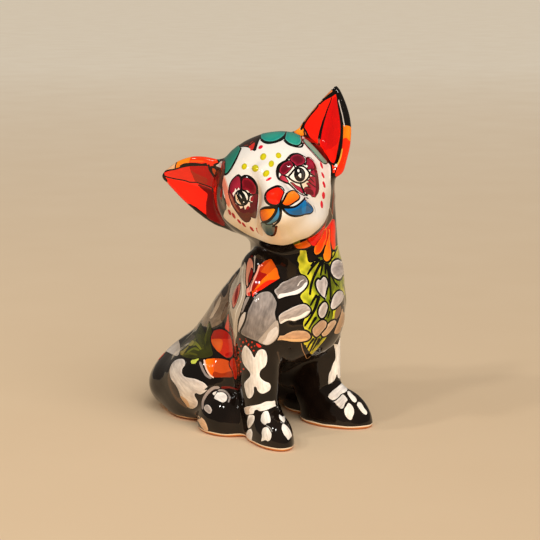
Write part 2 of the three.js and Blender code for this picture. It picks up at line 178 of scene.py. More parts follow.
def head_body(x, y, z):
    q = head_coords(x, y, z)

    def at(E, s):
        return ellipsoid(s - E["c"][0], q[1] - E["c"][1], q[2] - E["c"][2], E["r"])
    v = at(SKULL, q[0])
    v = smin(v, at(MUZZLE, q[0]), MUZZLE["k"])
    v = smin(v, capsule(q[0], q[1], q[2], BRIDGE["a"], BRIDGE["b"], BRIDGE["ra"], BRIDGE["rb"]), BRIDGE["k"])
    v = smin(v, at(CHIN, q[0]), CHIN["k"])
    v = smin(v, at(EYE, np.abs(q[0])), EYE["k"])
    return smin(v, np.minimum(ear_body(q, EF[0]), ear_body(q, EF[1])), EAR_BLEND)


TAIL_PTS = []
for _i in range(TAIL["n"] + 1):
    _t = _i / TAIL["n"]
    _p = (1 - _t) ** 2 * np.array(TAIL["a"]) + 2 * _t * (1 - _t) * np.array(TAIL["via"]) + _t ** 2 * np.array(TAIL["b"])
    TAIL_PTS.append((_p, mix(TAIL["r0"], TAIL["r1"], _t)))


def at3(x, y, z, E, ax=None):
    return ellipsoid((x if ax is None else ax) - E["c"][0], y - E["c"][1], z - E["c"][2], E["r"])


def statue(P):
    """signed distance, near enough, for an (n, 3) array of points in mm"""
    x, y, z = P[:, 0], P[:, 1], P[:, 2]
    ax = np.abs(x)
    v = at3(x, y, z, CHEST)
    v = smin(v, capsule(x, y, z, LOIN["a"], LOIN["b"], LOIN["ra"], LOIN["rb"]), LOIN["k"])
    v = smin(v, at3(x, y, z, RUMP), RUMP["k"])
    C, S = math.cos(THIGH["tilt"] * DEG), math.sin(THIGH["tilt"] * DEG)
    ty, tz = y - THIGH["c"][1], z - THIGH["c"][2]
    v = smin(v, ellipsoid(ax - THIGH["c"][0], C * ty + S * tz, C * tz - S * ty, THIGH["r"]), THIGH["k"])
    v = smin(v, at3(x, y, z, HOCK, ax), HOCK["k"])
    v = smin(v, at3(x, y, z, FLANK, ax), FLANK["k"])
    v = smin(v, limb(x, y, z, NECK), NECK["k"])
    for L in LEGS:
        v = smin(v, limb(x, y, z, L), L["k"])
    v = smin(v, at3(x, y, z, HIND_PAW, ax), HIND_PAW["k"])
    for p in PAWS:
        c, s = math.cos(p["splay"] * DEG), math.sin(p["splay"] * DEG)
        px, py = x - p["c"][0], y - p["c"][1]
        v = smin(v, ellipsoid(px * c + py * s, px * s - py * c, z - p["c"][2], p["r"]), p["k"])
    low = np.nonzero((z < 45) & (y > 15))[0]
    if len(low):
        t = np.full(len(low), 1e3)
        for (a, ra), (b, rb) in zip(TAIL_PTS[:-1], TAIL_PTS[1:]):
            t = np.minimum(t, capsule(x[low], y[low], z[low], a, b, ra, rb))
        v[low] = smin(v[low], t, TAIL["k"])
    v = smin(v, at3(x, y, z, BELLY), BELLY["k"])
    up = np.nonzero(z > 90)[0]
    if len(up):
        v[up] = smin(v[up], head_body(x[up], y[up], z[up]), HEAD_BLEND)
    return v


def body(P):
    """the statue with its underside, edges rounded as the foot of a fired piece is"""
    return smax(statue(P), -P[:, 2], 3.0)


def gradient(f, P, e=0.04):
    g = np.empty_like(P)
    for i in range(3):
        d = np.zeros(3)
        d[i] = e
        g[:, i] = (f(P + d) - f(P - d)) / (2 * e)
    return g


def onto(f, P, steps=3):
    for _ in range(steps):
        v, g = f(P), gradient(f, P)
        g2 = np.maximum((g * g).sum(1), 1e-6)
        s = np.clip(v / np.sqrt(g2), -1.2, 1.2) / np.sqrt(g2)
        P = P - g * s[:, None]
    return P


# ------------------------------------------------------------------ meshing
def surface_nets(f, lo, hi, h):
    lo = np.array(lo, float)
    n = np.ceil((np.array(hi, float) - lo) / h).astype(int) + 1
    step = 4
    coarse = [np.arange(0, n[i] + step, step) for i in range(3)]
    cg = np.stack(np.meshgrid(*coarse, indexing="ij"), -1).reshape(-1, 3) * h + lo
    cv = f(cg).reshape([len(c) for c in coarse])
    idx = [np.minimum(np.round(np.arange(n[i]) / step).astype(int), len(coarse[i]) - 1) for i in range(3)]
    val = cv[np.ix_(*idx)]
    near = np.abs(val) < 1.5 * step * h
    ijk = np.argwhere(near)
    out = np.empty(len(ijk))
    for s in range(0, len(ijk), 200000):
        out[s:s + 200000] = f(ijk[s:s + 200000] * h + lo)
    val[near] = out
    strides = np.array([n[1] * n[2], n[2], 1])
    cells, points, faces = [], [], []
    for a in range(3):
        b, c = (a + 1) % 3, (a + 2) % 3
        sl0, sl1 = [slice(None)] * 3, [slice(None)] * 3
        sl0[a], sl1[a] = slice(0, -1), slice(1, None)
        v0, v1 = val[tuple(sl0)], val[tuple(sl1)]
        cross = np.argwhere((v0 < 0) != (v1 < 0))
        w0 = v0[tuple(cross.T)]
        w1 = v1[tuple(cross.T)]
        t = w0 / (w0 - w1)
        p = cross.astype(float)
        p[:, a] += t
        ring = []
        for db, dc in ((-1, -1), (0, -1), (0, 0), (-1, 0)):
            q = cross.copy()
            q[:, b] += db
            q[:, c] += dc
            ring.append(q @ strides)
            cells.append(ring[-1])
            points.append(p)
        quad = np.stack(ring, 1)
        flip = w0 >= 0
        quad[flip] = quad[flip][:, ::-1]
        faces.append(quad)
    cells, points = np.concatenate(cells), np.concatenate(points)
    ids, inv = np.unique(cells, return_inverse=True)
    cnt = np.bincount(inv)
    verts = np.stack([np.bincount(inv, points[:, i]) / cnt for i in range(3)], 1) * h + lo
    quads = np.searchsorted(ids, np.concatenate(faces))
    d02 = ((verts[quads[:, 0]] - verts[quads[:, 2]]) ** 2).sum(1)
    d13 = ((verts[quads[:, 1]] - verts[quads[:, 3]]) ** 2).sum(1)
    A = d02 <= d13
    tris = np.concatenate([quads[A][:, [0, 1, 2]], quads[A][:, [0, 2, 3]], quads[~A][:, [1, 2, 3]], quads[~A][:, [1, 3, 0]]])
    return verts, tris


def edges_of(tris):
    e = np.sort(np.concatenate([tris[:, [0, 1]], tris[:, [1, 2]], tris[:, [2, 0]]]), 1)
    return np.unique(e, axis=0)


def relax(f, V, T, rounds=2, w=0.5):
    E = edges_of(T)
    for _ in range(rounds):
        acc = np.zeros_like(V)
        cnt = np.zeros(len(V))
        for i, j in ((0, 1), (1, 0)):
            for k in range(3):
                acc[:, k] += np.bincount(E[:, i], V[E[:, j], k], len(V))
            cnt += np.bincount(E[:, i], minlength=len(V))
        V = onto(f, V + w * (acc / cnt[:, None] - V), 1)
    return V


def split_edges(f, V, T, marked):
    """conforming refinement: every marked edge gets a midpoint, put onto the surface"""
    n = len(V)
    key = np.sort(np.stack([T, np.roll(T, -1, 1)], -1).reshape(-1, 2), 1)
    code = key[:, 0].astype(np.int64) * n + key[:, 1]
    mcode = np.unique(np.sort(marked, 1)[:, 0].astype(np.int64) * n + np.sort(marked, 1)[:, 1])
    pos = np.searchsorted(mcode, code)
    pos[pos >= len(mcode)] = 0
    hit = mcode[pos] == code
    mid = np.where(hit, pos + n, -1).reshape(-1, 3)
    mv = onto(f, (V[mcode // n] + V[mcode % n]) / 2, 1)
    V2 = np.concatenate([V, mv])
    cnt = (mid >= 0).sum(1)
    out = [T[cnt == 0]]
    m3 = cnt == 3
    a, b, c = T[m3].T
    ab, bc, ca = mid[m3].T
    out += [np.stack(s, 1) for s in ((a, ab, ca), (ab, b, bc), (ca, bc, c), (ab, bc, ca))]
    for k in range(3):
        o = [k, (k + 1) % 3, (k + 2) % 3]
        m1 = (cnt == 1) & (mid[:, k] >= 0)
        a, b, c = T[m1][:, o].T
        m = mid[m1][:, k]
        out += [np.stack((a, m, c), 1), np.stack((m, b, c), 1)]
        m2 = (cnt == 2) & (mid[:, k] < 0)          # edges k+1 and k+2 are split
        a, b, c = T[m2][:, o].T
        bc, ca = mid[m2][:, o[1]], mid[m2][:, o[2]]
        short = ((V2[a] - V2[bc]) ** 2).sum(1) < ((V2[b] - V2[ca]) ** 2).sum(1)
        out.append(np.stack((bc, c, ca), 1))
        out.append(np.where(short[:, None], np.stack((a, b, bc), 1), np.stack((a, b, ca), 1)))
        out.append(np.where(short[:, None], np.stack((a, bc, ca), 1), np.stack((b, bc, ca), 1)))
    return V2, np.concatenate(out)


# ------------------------------------------------------------------ the photograph's viewpoint
F_PX, PX_PER_MM, AZ, EL = 1600.0, 1.325, -42.0, 11.0
AIM = np.array([9.7, -5.5, 113.2])
_a, _e = AZ * DEG, EL * DEG
BACK = np.array([math.sin(_a) * math.cos(_e), -math.cos(_a) * math.cos(_e), math.sin(_e)])
RIGHT = np.array([math.cos(_a), math.sin(_a), 0.0])
UP = np.cross(BACK, RIGHT)
EYE_AT = AIM + BACK * F_PX / PX_PER_MM


def pixel_rays(uv):
    uv = np.asarray(uv, float).reshape(-1, 2)
    x, y = (uv[:, 0] - 270) / F_PX, -(uv[:, 1] - 270) / F_PX
    d = -BACK + x[:, None] * RIGHT + y[:, None] * UP
    return d / np.linalg.norm(d, axis=1)[:, None]


def cast(uv):
    """where rays through picture points meet the form; a point on or outside the outline lands a little behind it"""
    d = pixel_rays(uv)
    t = np.full(len(d), F_PX / PX_PER_MM - 190.0)
    best, tb = np.full(len(d), 1e9), t.copy()
    for _ in range(110):
        v = statue(EYE_AT + d * t[:, None])
        better = v < best
        best[better], tb[better] = v[better], t[better]
        t = np.where(best < 0.02, t, t + np.clip(v * 0.85, 0.05, 25))
    dip, td = best.copy(), tb.copy()                 # how deep the ray goes in, over its next 24 mm
    for s in np.arange(1.0, 25.0, 1.0):
        v = statue(EYE_AT + d * (tb + s)[:, None])
        deeper = v < dip
        dip[deeper], td[deeper] = v[deeper], tb[deeper] + s
    graze = dip > -GRAZE
    miss = np.where(graze, np.clip(dip + GRAZE, 0, 6.0), 0)
    P = onto(statue, EYE_AT + d * np.where(graze, td, tb)[:, None], 3)
    return onto(statue, P + d * (2.0 * miss)[:, None], 3)


# ------------------------------------------------------------------ painted shapes, in picture points
def oval(cx, cy, rx, ry, turn=0, n=14):
    a = np.arange(n) * 2 * math.pi / n
    c, s = math.cos(turn * DEG), math.sin(turn * DEG)
    return np.stack([cx + rx * np.cos(a) * c - ry * np.sin(a) * s, cy + rx * np.cos(a) * s + ry * np.sin(a) * c], 1)


def petal(x0, y0, x1, y1, wide, waist=0.15, full=0.62, n=9):
    """from its foot to its tip; waist is the foot's width as a share of wide, full the place of the widest part"""
    p0, p1 = np.array([x0, y0], float), np.array([x1, y1], float)
    d = p1 - p0
    s = np.array([-d[1], d[0]]) / np.linalg.norm(d)
    t = np.linspace(0, 1, n)
    g = np.where(t < full, waist + (1 - waist) * np.sin(t / full * math.pi / 2), np.sqrt(np.maximum(1 - ((t - full) / (1 - full)) ** 2, 0)))
    w = g * wide / 2
    L = p0 + d * t[:, None] + s * w[:, None]
    R = p0 + d * t[:, None] - s * w[:, None]
    return np.concatenate([L, R[-2::-1]])


def spline(pts, closed=True, per=6):
    P = np.asarray(pts, float)
    n = len(P)
    out = []
    segs = n if closed else n - 1
    for i in range(segs):
        if closed:
            a, b, c, d = P[(i - 1) % n], P[i], P[(i + 1) % n], P[(i + 2) % n]
        else:
            a, b, c, d = P[max(i - 1, 0)], P[i], P[i + 1], P[min(i + 2, n - 1)]
        for k in range(per):
            t = k / per
            out.append(0.5 * ((2 * b) + (c - a) * t + (2 * a - 5 * b + 4 * c - d) * t * t + (3 * b - a - 3 * c + d) * t ** 3))
    if not closed:
        out.append(P[-1])
    return np.array(out)


def polygon_sd(q, poly):
    """signed distance to a closed polygon, negative inside; also the nearest distance is exact"""
    a, b = poly, np.roll(poly, -1, 0)
    best = np.full(len(q), 1e18)
    inside = np.zeros(len(q), bool)
    for (ax, ay), (bx, by) in zip(a, b):
        ex, ey = bx - ax, by - ay
        wx, wy = q[:, 0] - ax, q[:, 1] - ay
        t = np.clip((wx * ex + wy * ey) / max(ex * ex + ey * ey, 1e-12), 0, 1)
        dx, dy = wx - ex * t, wy - ey * t
        best = np.minimum(best, dx * dx + dy * dy)
        up = (ay > q[:, 1]) != (by > q[:, 1])
        xi = ax + (q[:, 1] - ay) * ex / (ey if abs(ey) > 1e-12 else 1e-12)
        inside ^= up & (q[:, 0] < xi)
    d = np.sqrt(best)
    return np.where(inside, -d, d)


def across(q, line, w0, w1):
    """for an open line: signed distance across it, half width there (negative past its ends), true distance to its edge"""
    n = len(line) - 1
    best = np.full(len(q), 1e18)
    s, w, d = np.zeros(len(q)), np.full(len(q), -1.0), np.zeros(len(q))
    for i in range(n):
        e = line[i + 1] - line[i]
        L = max(np.hypot(*e), 1e-9)
        e = e / L
        wx, wy = q[:, 0] - line[i, 0], q[:, 1] - line[i, 1]
        t = wx * e[0] + wy * e[1]
        side = e[0] * wy - e[1] * wx
        over = np.maximum(np.maximum(-t, t - L), 0)
        d2 = side * side + over * over
        hit = d2 < best
        past = np.where(((t < 0) & (i == 0)) | ((t > L) & (i == n - 1)), over, 0)
        half = mix(w0, w1, (i + np.clip(t / L, 0, 1)) / n)
        s[hit] = np.where(past > 0, side, np.sign(side) * np.sqrt(d2))[hit]
        w[hit] = (half - 1.1 * past)[hit]
        d[hit] = (np.sqrt(d2) - half)[hit]
        best[hit] = d2[hit]
    return s, w, d


# ------------------------------------------------------------------ colours
def srgb(r, g, b):
    c = np.array([r, g, b], float) / 255
    return np.where(c <= 0.04045, c / 12.92, ((c + 0.055) / 1.055) ** 2.4)


BLACK, LINE = srgb(22, 15, 11), srgb(10, 8, 7)
FACE, WHITE, BONE = srgb(233, 230, 226), srgb(240, 236, 230), srgb(222, 215, 206)
GREY, GREY_D, SMOKE = srgb(176, 169, 162), srgb(118, 112, 106), srgb(84, 74, 62)
RED, RED_D, ORANGE, ORANGE_D, AMBER = srgb(226, 26, 12), srgb(150, 14, 8), srgb(244, 104, 14), srgb(214, 62, 12), srgb(252, 150, 34)
MAROON, MAROON_D, CRIMSON = srgb(132, 18, 44), srgb(80, 10, 26), srgb(206, 26, 66)
TEAL, TEAL_D, TEAL_G = srgb(2, 140, 132), srgb(22, 100, 88), srgb(118, 150, 138)
LIME, GREEN, GREEN_D, OLIVE, MOSS = srgb(182, 176, 14), srgb(138, 148, 20), srgb(92, 104, 18), srgb(62, 64, 22), srgb(110, 122, 28)
BLUE, BLUE_D, SLATE = srgb(0, 116, 206), srgb(6, 72, 136), srgb(26, 62, 88)
CLAY, PINK, SALMON, CREAM, TAN = srgb(206, 134, 74), srgb(222, 160, 140), srgb(190, 96, 76), srgb(196, 184, 168), srgb(196, 164, 126)
UMBER = srgb(74, 40, 26)
PEN = 1.28           # how heavy the outlines are drawn
REACH = 7.0          # how far out a shape's distance is kept, mm
CLEAR = 1.7          # coarse shapes closer than twice this go to different layers


def ripple(P, scale, seed):
    """smooth cheap noise in -1..1 made of a few sines"""
    out = 0
    for i, v in enumerate(((1.0, 0.7, 0.3), (-0.5, 1.1, 0.8), (0.6, -0.9, 1.2), (1.3, 0.4, -0.7))):
        out = out + np.sin((P @ np.array(v)) / scale * (1 + 0.37 * i) + seed * (1.7 + i))
    return out / 4


# ------------------------------------------------------------------ the painter
class Painter:
    """collects shapes in painting order, lays them on the form, and sorts them into layers"""

    def __init__(self):
        self.jobs = []

    def px(self, pts, col, **k):
        """a closed shape in picture points; edge is the outline's half width in mm, lift how far it stands up"""
        self.jobs.append(dict(k, pts=np.asarray(pts, float), col=col))

    def both(self, pts, col, **k):
        self.px(pts, col, **k)
        self.px(pts, col, mirror=True, **k)

    def stroke(self, pts, w=0.35, w1=None, col=LINE, **k):
        self.px(pts, col, line=(w, w if w1 is None else w1), **k)

    def local(self, at, up, pts, col, **k):
        """a shape in mm about a place on the form: x to the right seen from outside, y along up"""
        self.jobs.append(dict(k, pts=np.asarray(pts, float), col=col, at=at, up=up))

    def field(self, f, col, **k):
        """a region given by a signed distance over the whole form"""
        self.jobs.append(dict(k, f=f, col=col))

    def place(self):
        flat = [j for j in self.jobs if "pts" in j]
        for j in flat:
            j["p"] = spline(j["pts"], closed="line" not in j, per=4) if j.get("smooth", True) else j["pts"]
        px = [j for j in flat if "at" not in j]
        cut = np.cumsum([len(j["p"]) for j in px])[:-1]
        P = cast(np.concatenate([j["p"] for j in px]))
        for j, p in zip(px, np.split(P, cut)):
            far = (EYE_AT - p) @ BACK                # a point that slips off onto something behind comes back
            d = pixel_rays(j["p"])
            mid = np.median(far)
            span = np.linalg.norm(j["p"] - j["p"].mean(0), axis=1).max() / PX_PER_MM
            off = np.abs(far - mid) > j.get("slip", 5 + 1.1 * span if j.get("face", 1) > 0 else 12 + 4 * span)
            if off.any():
                p[off] = EYE_AT + d[off] * (mid / -(d[off] @ BACK))[:, None]
        P = onto(statue, P, 6)
        for j, p in zip(px, np.split(P, cut)):
            j["P"] = p * np.array([-1.0, 1, 1]) if j.get("mirror") else p
        for j in flat:
            if "at" in j:
                A = onto(statue, np.array([j["at"]], float), 6)[0]
                n = unit(gradient(statue, A[None])[0])
                y = unit(np.array(j["up"], float) - n * np.dot(j["up"], n))
                x = np.cross(y, n)
                j["P"] = A + j["p"][:, :1] * x + j["p"][:, 1:] * y
        P = onto(statue, np.concatenate([j["P"] for j in flat]), 4)
        G = gradient(statue, P)
        G /= np.linalg.norm(G, axis=1)[:, None]
        cut = np.cumsum([len(j["P"]) for j in flat])[:-1]
        C = onto(statue, np.array([p.mean(0) for p in np.split(P, cut)]), 3)
        GC = gradient(statue, C)
        for j, p, g, c, gc in zip(flat, np.split(P, cut), np.split(G, cut), C, GC):
            j["P"], j["C"] = p, c
            n = unit(g.mean(0) + unit(gc))
            ex = np.cross([0, 0, 1.0], n)
            ex = unit(ex) if np.linalg.norm(ex) > 0.2 else unit(np.cross([0, 1.0, 0], n))
            j["axes"] = (ex, np.cross(n, ex), n)
            j["R"] = np.linalg.norm(p - c, axis=1).max()

    def tint(self, j, i, V, q, sd, poly):
        c = np.broadcast_to(j["col"], (len(V), 3)).copy()
        if "col2" in j:
            fade = j.get("fade", "edge")
            if fade == "edge":
                t = -sd / (0.6 * max(-sd.min(), 1e-3))
            elif fade == "along":
                t = np.linalg.norm(q - poly[0], axis=1) / np.linalg.norm(poly - poly[0], axis=1).max()
            else:
                k = {"right": 0, "up": 1}[fade]
                t = (q[:, k] - poly[:, k].min()) / np.ptp(poly[:, k])
            t = np.clip(t + j.get("mottle", 0.2) * ripple(V, 3.0, i), 0, 1)[:, None]
            c = c * (1 - t) + np.asarray(j["col2"]) * t
        if j.get("rim") is not None:                 # a paler band just inside the outline
            t = np.clip(1 + (sd + 0.5) / j.get("band", 1.5), 0, 1)[:, None]
            c = c * (1 - 0.8 * t) + 0.8 * np.asarray(j["rim"]) * t
        if j.get("streak"):                          # brush marks along the shape
            m = poly - poly.mean(0)
            e = np.linalg.eigh(m.T @ m)[1]
            r = q @ e
            k = j.get("fine_streak", 1.0)
            n = (np.sin(r[:, 0] * 2.3 / k + 1.2 * np.sin(r[:, 1] * 0.21 + i)) + np.sin(r[:, 0] * 4.1 / k + np.sin(r[:, 1] * 0.33 + 2 * i) + i)
                 + 1.4 * np.sin(r[:, 0] * 0.9 + 1.5 * np.sin(r[:, 1] * 0.16 + 0.7 * i) + 2 * i)) / 3.4
            c = c * (1 + j["streak"] * n)[:, None]
        if j.get("wash"):
            c = c * (1 + j["wash"] * (ripple(V * np.array([1, 1, 2.0]), 2.4, 3.1 * i) + 0.6 * ripple(V, 1.1, i))[:, None])
        return np.clip(c, 0, 1)

    def measure(self, j, V, N):
        """the vertices near a shape, and there: signed distance or distance across, half width, true distance"""
        if "f" in j:
            sd = j["f"](V)
            sel = np.nonzero(sd < REACH)[0]
            sd = sd[sel]
            return sel, sd, np.full(len(sel), PEN * j.get("edge", 0.0)), sd, None, None
        ex, ey, nn = j["axes"]
        d = V - j["C"]
        deep = j.get("depth", 6 + 0.75 * j["R"])
        sel = np.nonzero((np.einsum("ij,ij->i", d, d) < (j["R"] + REACH) ** 2) & (N @ nn > j.get("face", 0.15)) & (np.abs(d @ nn) < deep))[0]
        q = np.stack([d[sel] @ ex, d[sel] @ ey], 1)
        p = j["P"] - j["C"]
        poly = np.stack([p @ ex, p @ ey], 1)
        if "line" in j:
            S, W, D = across(q, poly, PEN * j["line"][0], PEN * j["line"][1])
        else:
            S = D = polygon_sd(q, poly)
            W = np.full(len(sel), PEN * j.get("edge", 0.42))
        return sel, S, W, D, q, poly

    def close(self, V, N, reach):
        """marks the vertices near the edge of a fine shape"""
        mark = np.zeros(len(V), bool)
        for j in self.jobs:
            if j.get("fine"):
                sel, S, W, D, q, poly = self.measure(j, V, N)
                mark[sel[np.abs(D) < reach]] = True
        return mark

    def lay(self, V, N, most=44):
        n = len(V)
        covered, beside = [], []
        D1, D2 = [], []
        SWA, COL = [], []
        lift = np.zeros(n)
        grain, brush = V * np.array([1, 1, 0.35]), np.full(n, 0.05)
        for i, j in enumerate(self.jobs):
            sel, S, W, D, q, poly = self.measure(j, V, N)
            if not len(sel):
                print("nothing under shape", i)
                continue
            A = 0.0 if "line" in j else 1.0
            if A and "f" not in j:
                col = self.tint(j, i, V[sel], q, S, poly)
            else:
                col = np.broadcast_to(j["col"], (len(sel), 3)).copy()
            # what faces down is painted warmer and deeper: a painted warm shade standing in for light bounced up from
            # the floor
            col = col * (1 + np.clip((-N[sel, 2:] - 0.02) / 0.7, 0, 1) * np.array([-0.05, -0.19, -0.38]))
            over, near = sel[D < 0.6], sel[D < (1.1 if j.get("fine") else CLEAR)]
            k = 1 + max((i for i, c in enumerate(covered) if c[over].any()), default=-1)
            while k < len(beside) and beside[k][near].any():
                k += 1
            k = min(k, most - 1)
            if k == len(beside):
                covered.append(np.zeros(n, bool))
                beside.append(np.zeros(n, bool))
            covered[k][over] = True
            beside[k][near] = True
            while len(D1) <= k:
                D1.append(np.full(n, REACH))
                D2.append(np.full(n, REACH))
                s = np.zeros((n, 3))
                s[:, 0], s[:, 1] = REACH, -1
                SWA.append(s)
                COL.append(np.zeros((n, 4)))
            hit = D < D1[k][sel]
            g = sel[hit]
            D2[k][g] = D1[k][g]
            D1[k][g] = D[hit]
            D2[k][sel[~hit]] = np.minimum(D2[k][sel[~hit]], D[~hit])
            SWA[k][g] = np.stack([np.clip(S[hit], -REACH, REACH), W[hit], np.full(len(g), A)], 1)
            COL[k][g, :3], COL[k][g, 3] = col[hit], 1
            if A:                                    # the brush runs along each shape
                ins = D < (1.2 if j.get("grain") else 0)
                brush[sel[ins]] = j.get("grain", 0.06)
                if q is not None:
                    m = poly - poly.mean(0)
                    r = q[ins] @ np.linalg.eigh(m.T @ m)[1]
                    grain[sel[ins]] = np.stack([r[:, 0], 0.22 * r[:, 1], np.full(len(r), 3.7 * i)], 1)
            if j.get("lift") and A:
                e = np.clip(-D / j.get("slope", 1.3), 0, 1)
                ins = D < 0
                lift[sel[ins]] = (j["lift"] * e * e * (3 - 2 * e))[ins]
        for k in range(len(D1)):                    # no false lines where two shapes of a layer meet halfway
            mid = (D2[k] - D1[k] < 1.5) & (D1[k] > 0.8) & (D2[k] < REACH)
            SWA[k][mid, 1] = -1
            SWA[k][mid, 2] = 0
        return SWA, COL, lift, grain, brush


def star(cx, cy, r0, r1, n, turn=0, squash=1.0):
    """a burst of n rays between two radii"""
    a = (np.arange(2 * n) * math.pi / n) + turn * DEG
    r = np.where(np.arange(2 * n) % 2, r0, r1)
    return np.stack([cx + r * np.cos(a) * squash, cy + r * np.sin(a)], 1)


# ------------------------------------------------------------------ regions of the form
def xyz(P):
    return P[:, 0], P[:, 1], P[:, 2]


def head_plain(q):
    def at(E, s):
        return ellipsoid(s - E["c"][0], q[1] - E["c"][1], q[2] - E["c"][2], E["r"])
    return np.minimum(np.minimum(at(SKULL, q[0]), at(MUZZLE, q[0])), at(CHIN, q[0]))


def ear_region(P, i):
    """negative on the ear, positive on the head"""
    q = head_coords(*xyz(P))
    v = ear_body(q, EF[i]) - np.minimum(head_plain(q), statue_without_head(P))
    return np.where(P[:, 2] > 110, v, REACH)


def statue_without_head(P):
    x, y, z = xyz(P)
    return np.minimum(limb(x, y, z, NECK), at3(x, y, z, CHEST))


def head_map(P):
    """the head's surface rolled out flat about its forward direction, in mm"""
    q = head_coords(*xyz(P))
    m = np.hypot(q[0], q[1]) + 1e-9
    th = np.arctan2(m, q[2]) * 41
    return np.stack([q[0] / m * th, q[1] / m * th], 1)


MASK_PX = [(223, 217), (229, 223.3), (237, 228.8), (244, 233.2), (251, 237), (262, 241.8), (274, 245.2), (284, 246), (292, 244.2), (300, 240.8), (308, 238), (315, 233),
           (321, 227.3), (325, 222), (329, 214), (330.4, 205), (331.2, 195), (331.6, 186), (331.9, 178), (333.8, 171.4), (335.6, 167.2), (330, 163.2), (318, 150.5), (306, 138.5), (299, 131.5),
           (285, 127), (272, 127.5), (261, 131), (246, 140), (236, 143), (226, 148), (220.6, 158), (221, 168), (222, 176), (221.8, 186), (222.8, 195), (225.6, 203), (224, 210)]


def mask_field():
    poly = head_map(cast(np.array(MASK_PX, float)))

    def f(P):
        v = polygon_sd(head_map(P), spline(poly, per=3))
        v = np.maximum(v, 0.6 - np.minimum(ear_region(P, 0), ear_region(P, 1)))
        v = np.maximum(v, 0.9 * (head_plain(head_coords(*xyz(P))) - 14))
        return np.where(P[:, 2] > 110, v, REACH)
    return f


def sole(h):
    def f(P):
        return P[:, 2] - h - 0.35 * ripple(P, 5.0, 2)
    return f


# ------------------------------------------------------------------ the painting
A = Painter()
px, both, stroke, local = A.px, A.both, A.stroke, A.local


def bone(pts, mid, rim=WHITE, two=False, **k):
    """a bone: brushed grey or white, paler along its edge, standing up a little"""
    k = dict(dict(band=1.7, streak=0.05, grain=0.26, wash=0.05, lift=0.4, slope=2, edge=0.5), **k)
    (both if two else px)(pts, mid, rim=rim, **k)


def strokes(rows, **k):
    for w, w1, pts in rows:
        stroke(pts, w, w1, **k)


# ears: backs and rims first, the reds inside come after
def ear_part(i, f):
    """part of an ear, by its own length and width coordinates in mm"""
    def g(P):
        p, w, n = ear_coords(head_coords(*xyz(P)), EF[i])
        return np.maximum(ear_region(P, i), f(p, w, n))
    return g


A.field(lambda P: ear_region(P, 0), BLACK)
A.field(ear_part(0, lambda p, w, n: np.maximum(w + 2, -8 - p)), srgb(250, 52, 10), edge=0.5)
A.field(ear_part(0, lambda p, w, n: np.maximum(w + 2, 23 - p)), srgb(254, 136, 20), edge=0)
A.field(ear_part(0, lambda p, w, n: np.maximum(w + 4, 33 - p)), srgb(222, 178, 140), edge=0.35)
A.field(lambda P: ear_region(P, 1), srgb(204, 118, 68))
A.field(ear_part(1, lambda p, w, n: -w), srgb(252, 132, 16), edge=0.3)
A.field(ear_part(1, lambda p, w, n: np.maximum(6 - w, p - 2 - 1.2 * np.sin(w * 0.7))), srgb(250, 44, 8), edge=0)
A.field(ear_part(1, lambda p, w, n: np.maximum(-w - 0.5, 12.6 - p)), srgb(16, 13, 12), edge=0.5)
A.field(ear_part(1, lambda p, w, n: np.maximum(w + 0.5, 36 - p)), srgb(238, 228, 214), edge=0.3)

# head: the white face
A.field(mask_field(), FACE, edge=0.85, grain=0.02)

# back of the head, hidden in the photograph: plain petals
for a in range(6):
    t = a * 60 * DEG
    c, s = math.cos(t), math.sin(t)
    p = petal(0, 4, 0, 19, 13)
    q = np.stack([p[:, 0] * c - p[:, 1] * s, p[:, 0] * s + p[:, 1] * c], 1)
    local((16, 8, 196), (0, 0, 1), q, TEAL if a % 2 else ORANGE, col2=TEAL_D if a % 2 else AMBER, lift=0.25)
local((16, 8, 196), (0, 0, 1), oval(0, 0, 4.4, 4.4), AMBER, lift=0.5)
for a in range(12):
    t = (a * 30 + 15) * DEG
    local((16, 8, 196), (0, 0, 1), oval(23.5 * math.cos(t), 23.5 * math.sin(t), 1.7, 1.7), LIME, lift=0.5, edge=0)

# the back, hidden as well: a spine of small bones, with ribs, leaves and petals at its sides
VERTEBRA = [(0, 5.2), (2.6, 5.4), (4.6, 2.6), (8.6, 3.2), (10.4, 0.6), (8.2, -1.8), (4.4, -1.4), (3.0, -5.0), (0, -5.6),
            (-3.0, -5.0), (-4.4, -1.4), (-8.2, -1.8), (-10.4, 0.6), (-8.6, 3.2), (-4.6, 2.6), (-2.6, 5.4)]
LOIN_A, LOIN_B = np.array(LOIN["a"], float), np.array(LOIN["b"], float)
LOIN_N = unit(np.array([0, LOIN_A[2] - LOIN_B[2], LOIN_B[1] - LOIN_A[1]]))
LOIN_UP = tuple(unit(LOIN_A - LOIN_B))
SPINE = [(tuple(mix(LOIN_A, LOIN_B, t) + LOIN_N * 30), LOIN_UP) for t in (-0.04, 0.14, 0.32, 0.50, 0.68, 0.86, 1.04)]
for at, up in SPINE:
    local(at, up, VERTEBRA, GREY, rim=WHITE, band=1.4, streak=0.06, lift=0.4, slope=2, edge=0.5)
for t, s in ((0.06, 1), (0.24, 1), (0.42, 1), (0.06, -1), (0.24, -1)):
    at = mix(LOIN_A, LOIN_B, t) + LOIN_N * 26 + np.array([s * 19.0, 0, 0])
    p = np.array(petal(-9, 1.5, 9, -1.5, 6.4, waist=0.5))
    local(tuple(at), LOIN_UP, p * np.array([s, 1]), BONE, rim=WHITE, streak=0.07, lift=0.4, slope=2, edge=0.5)
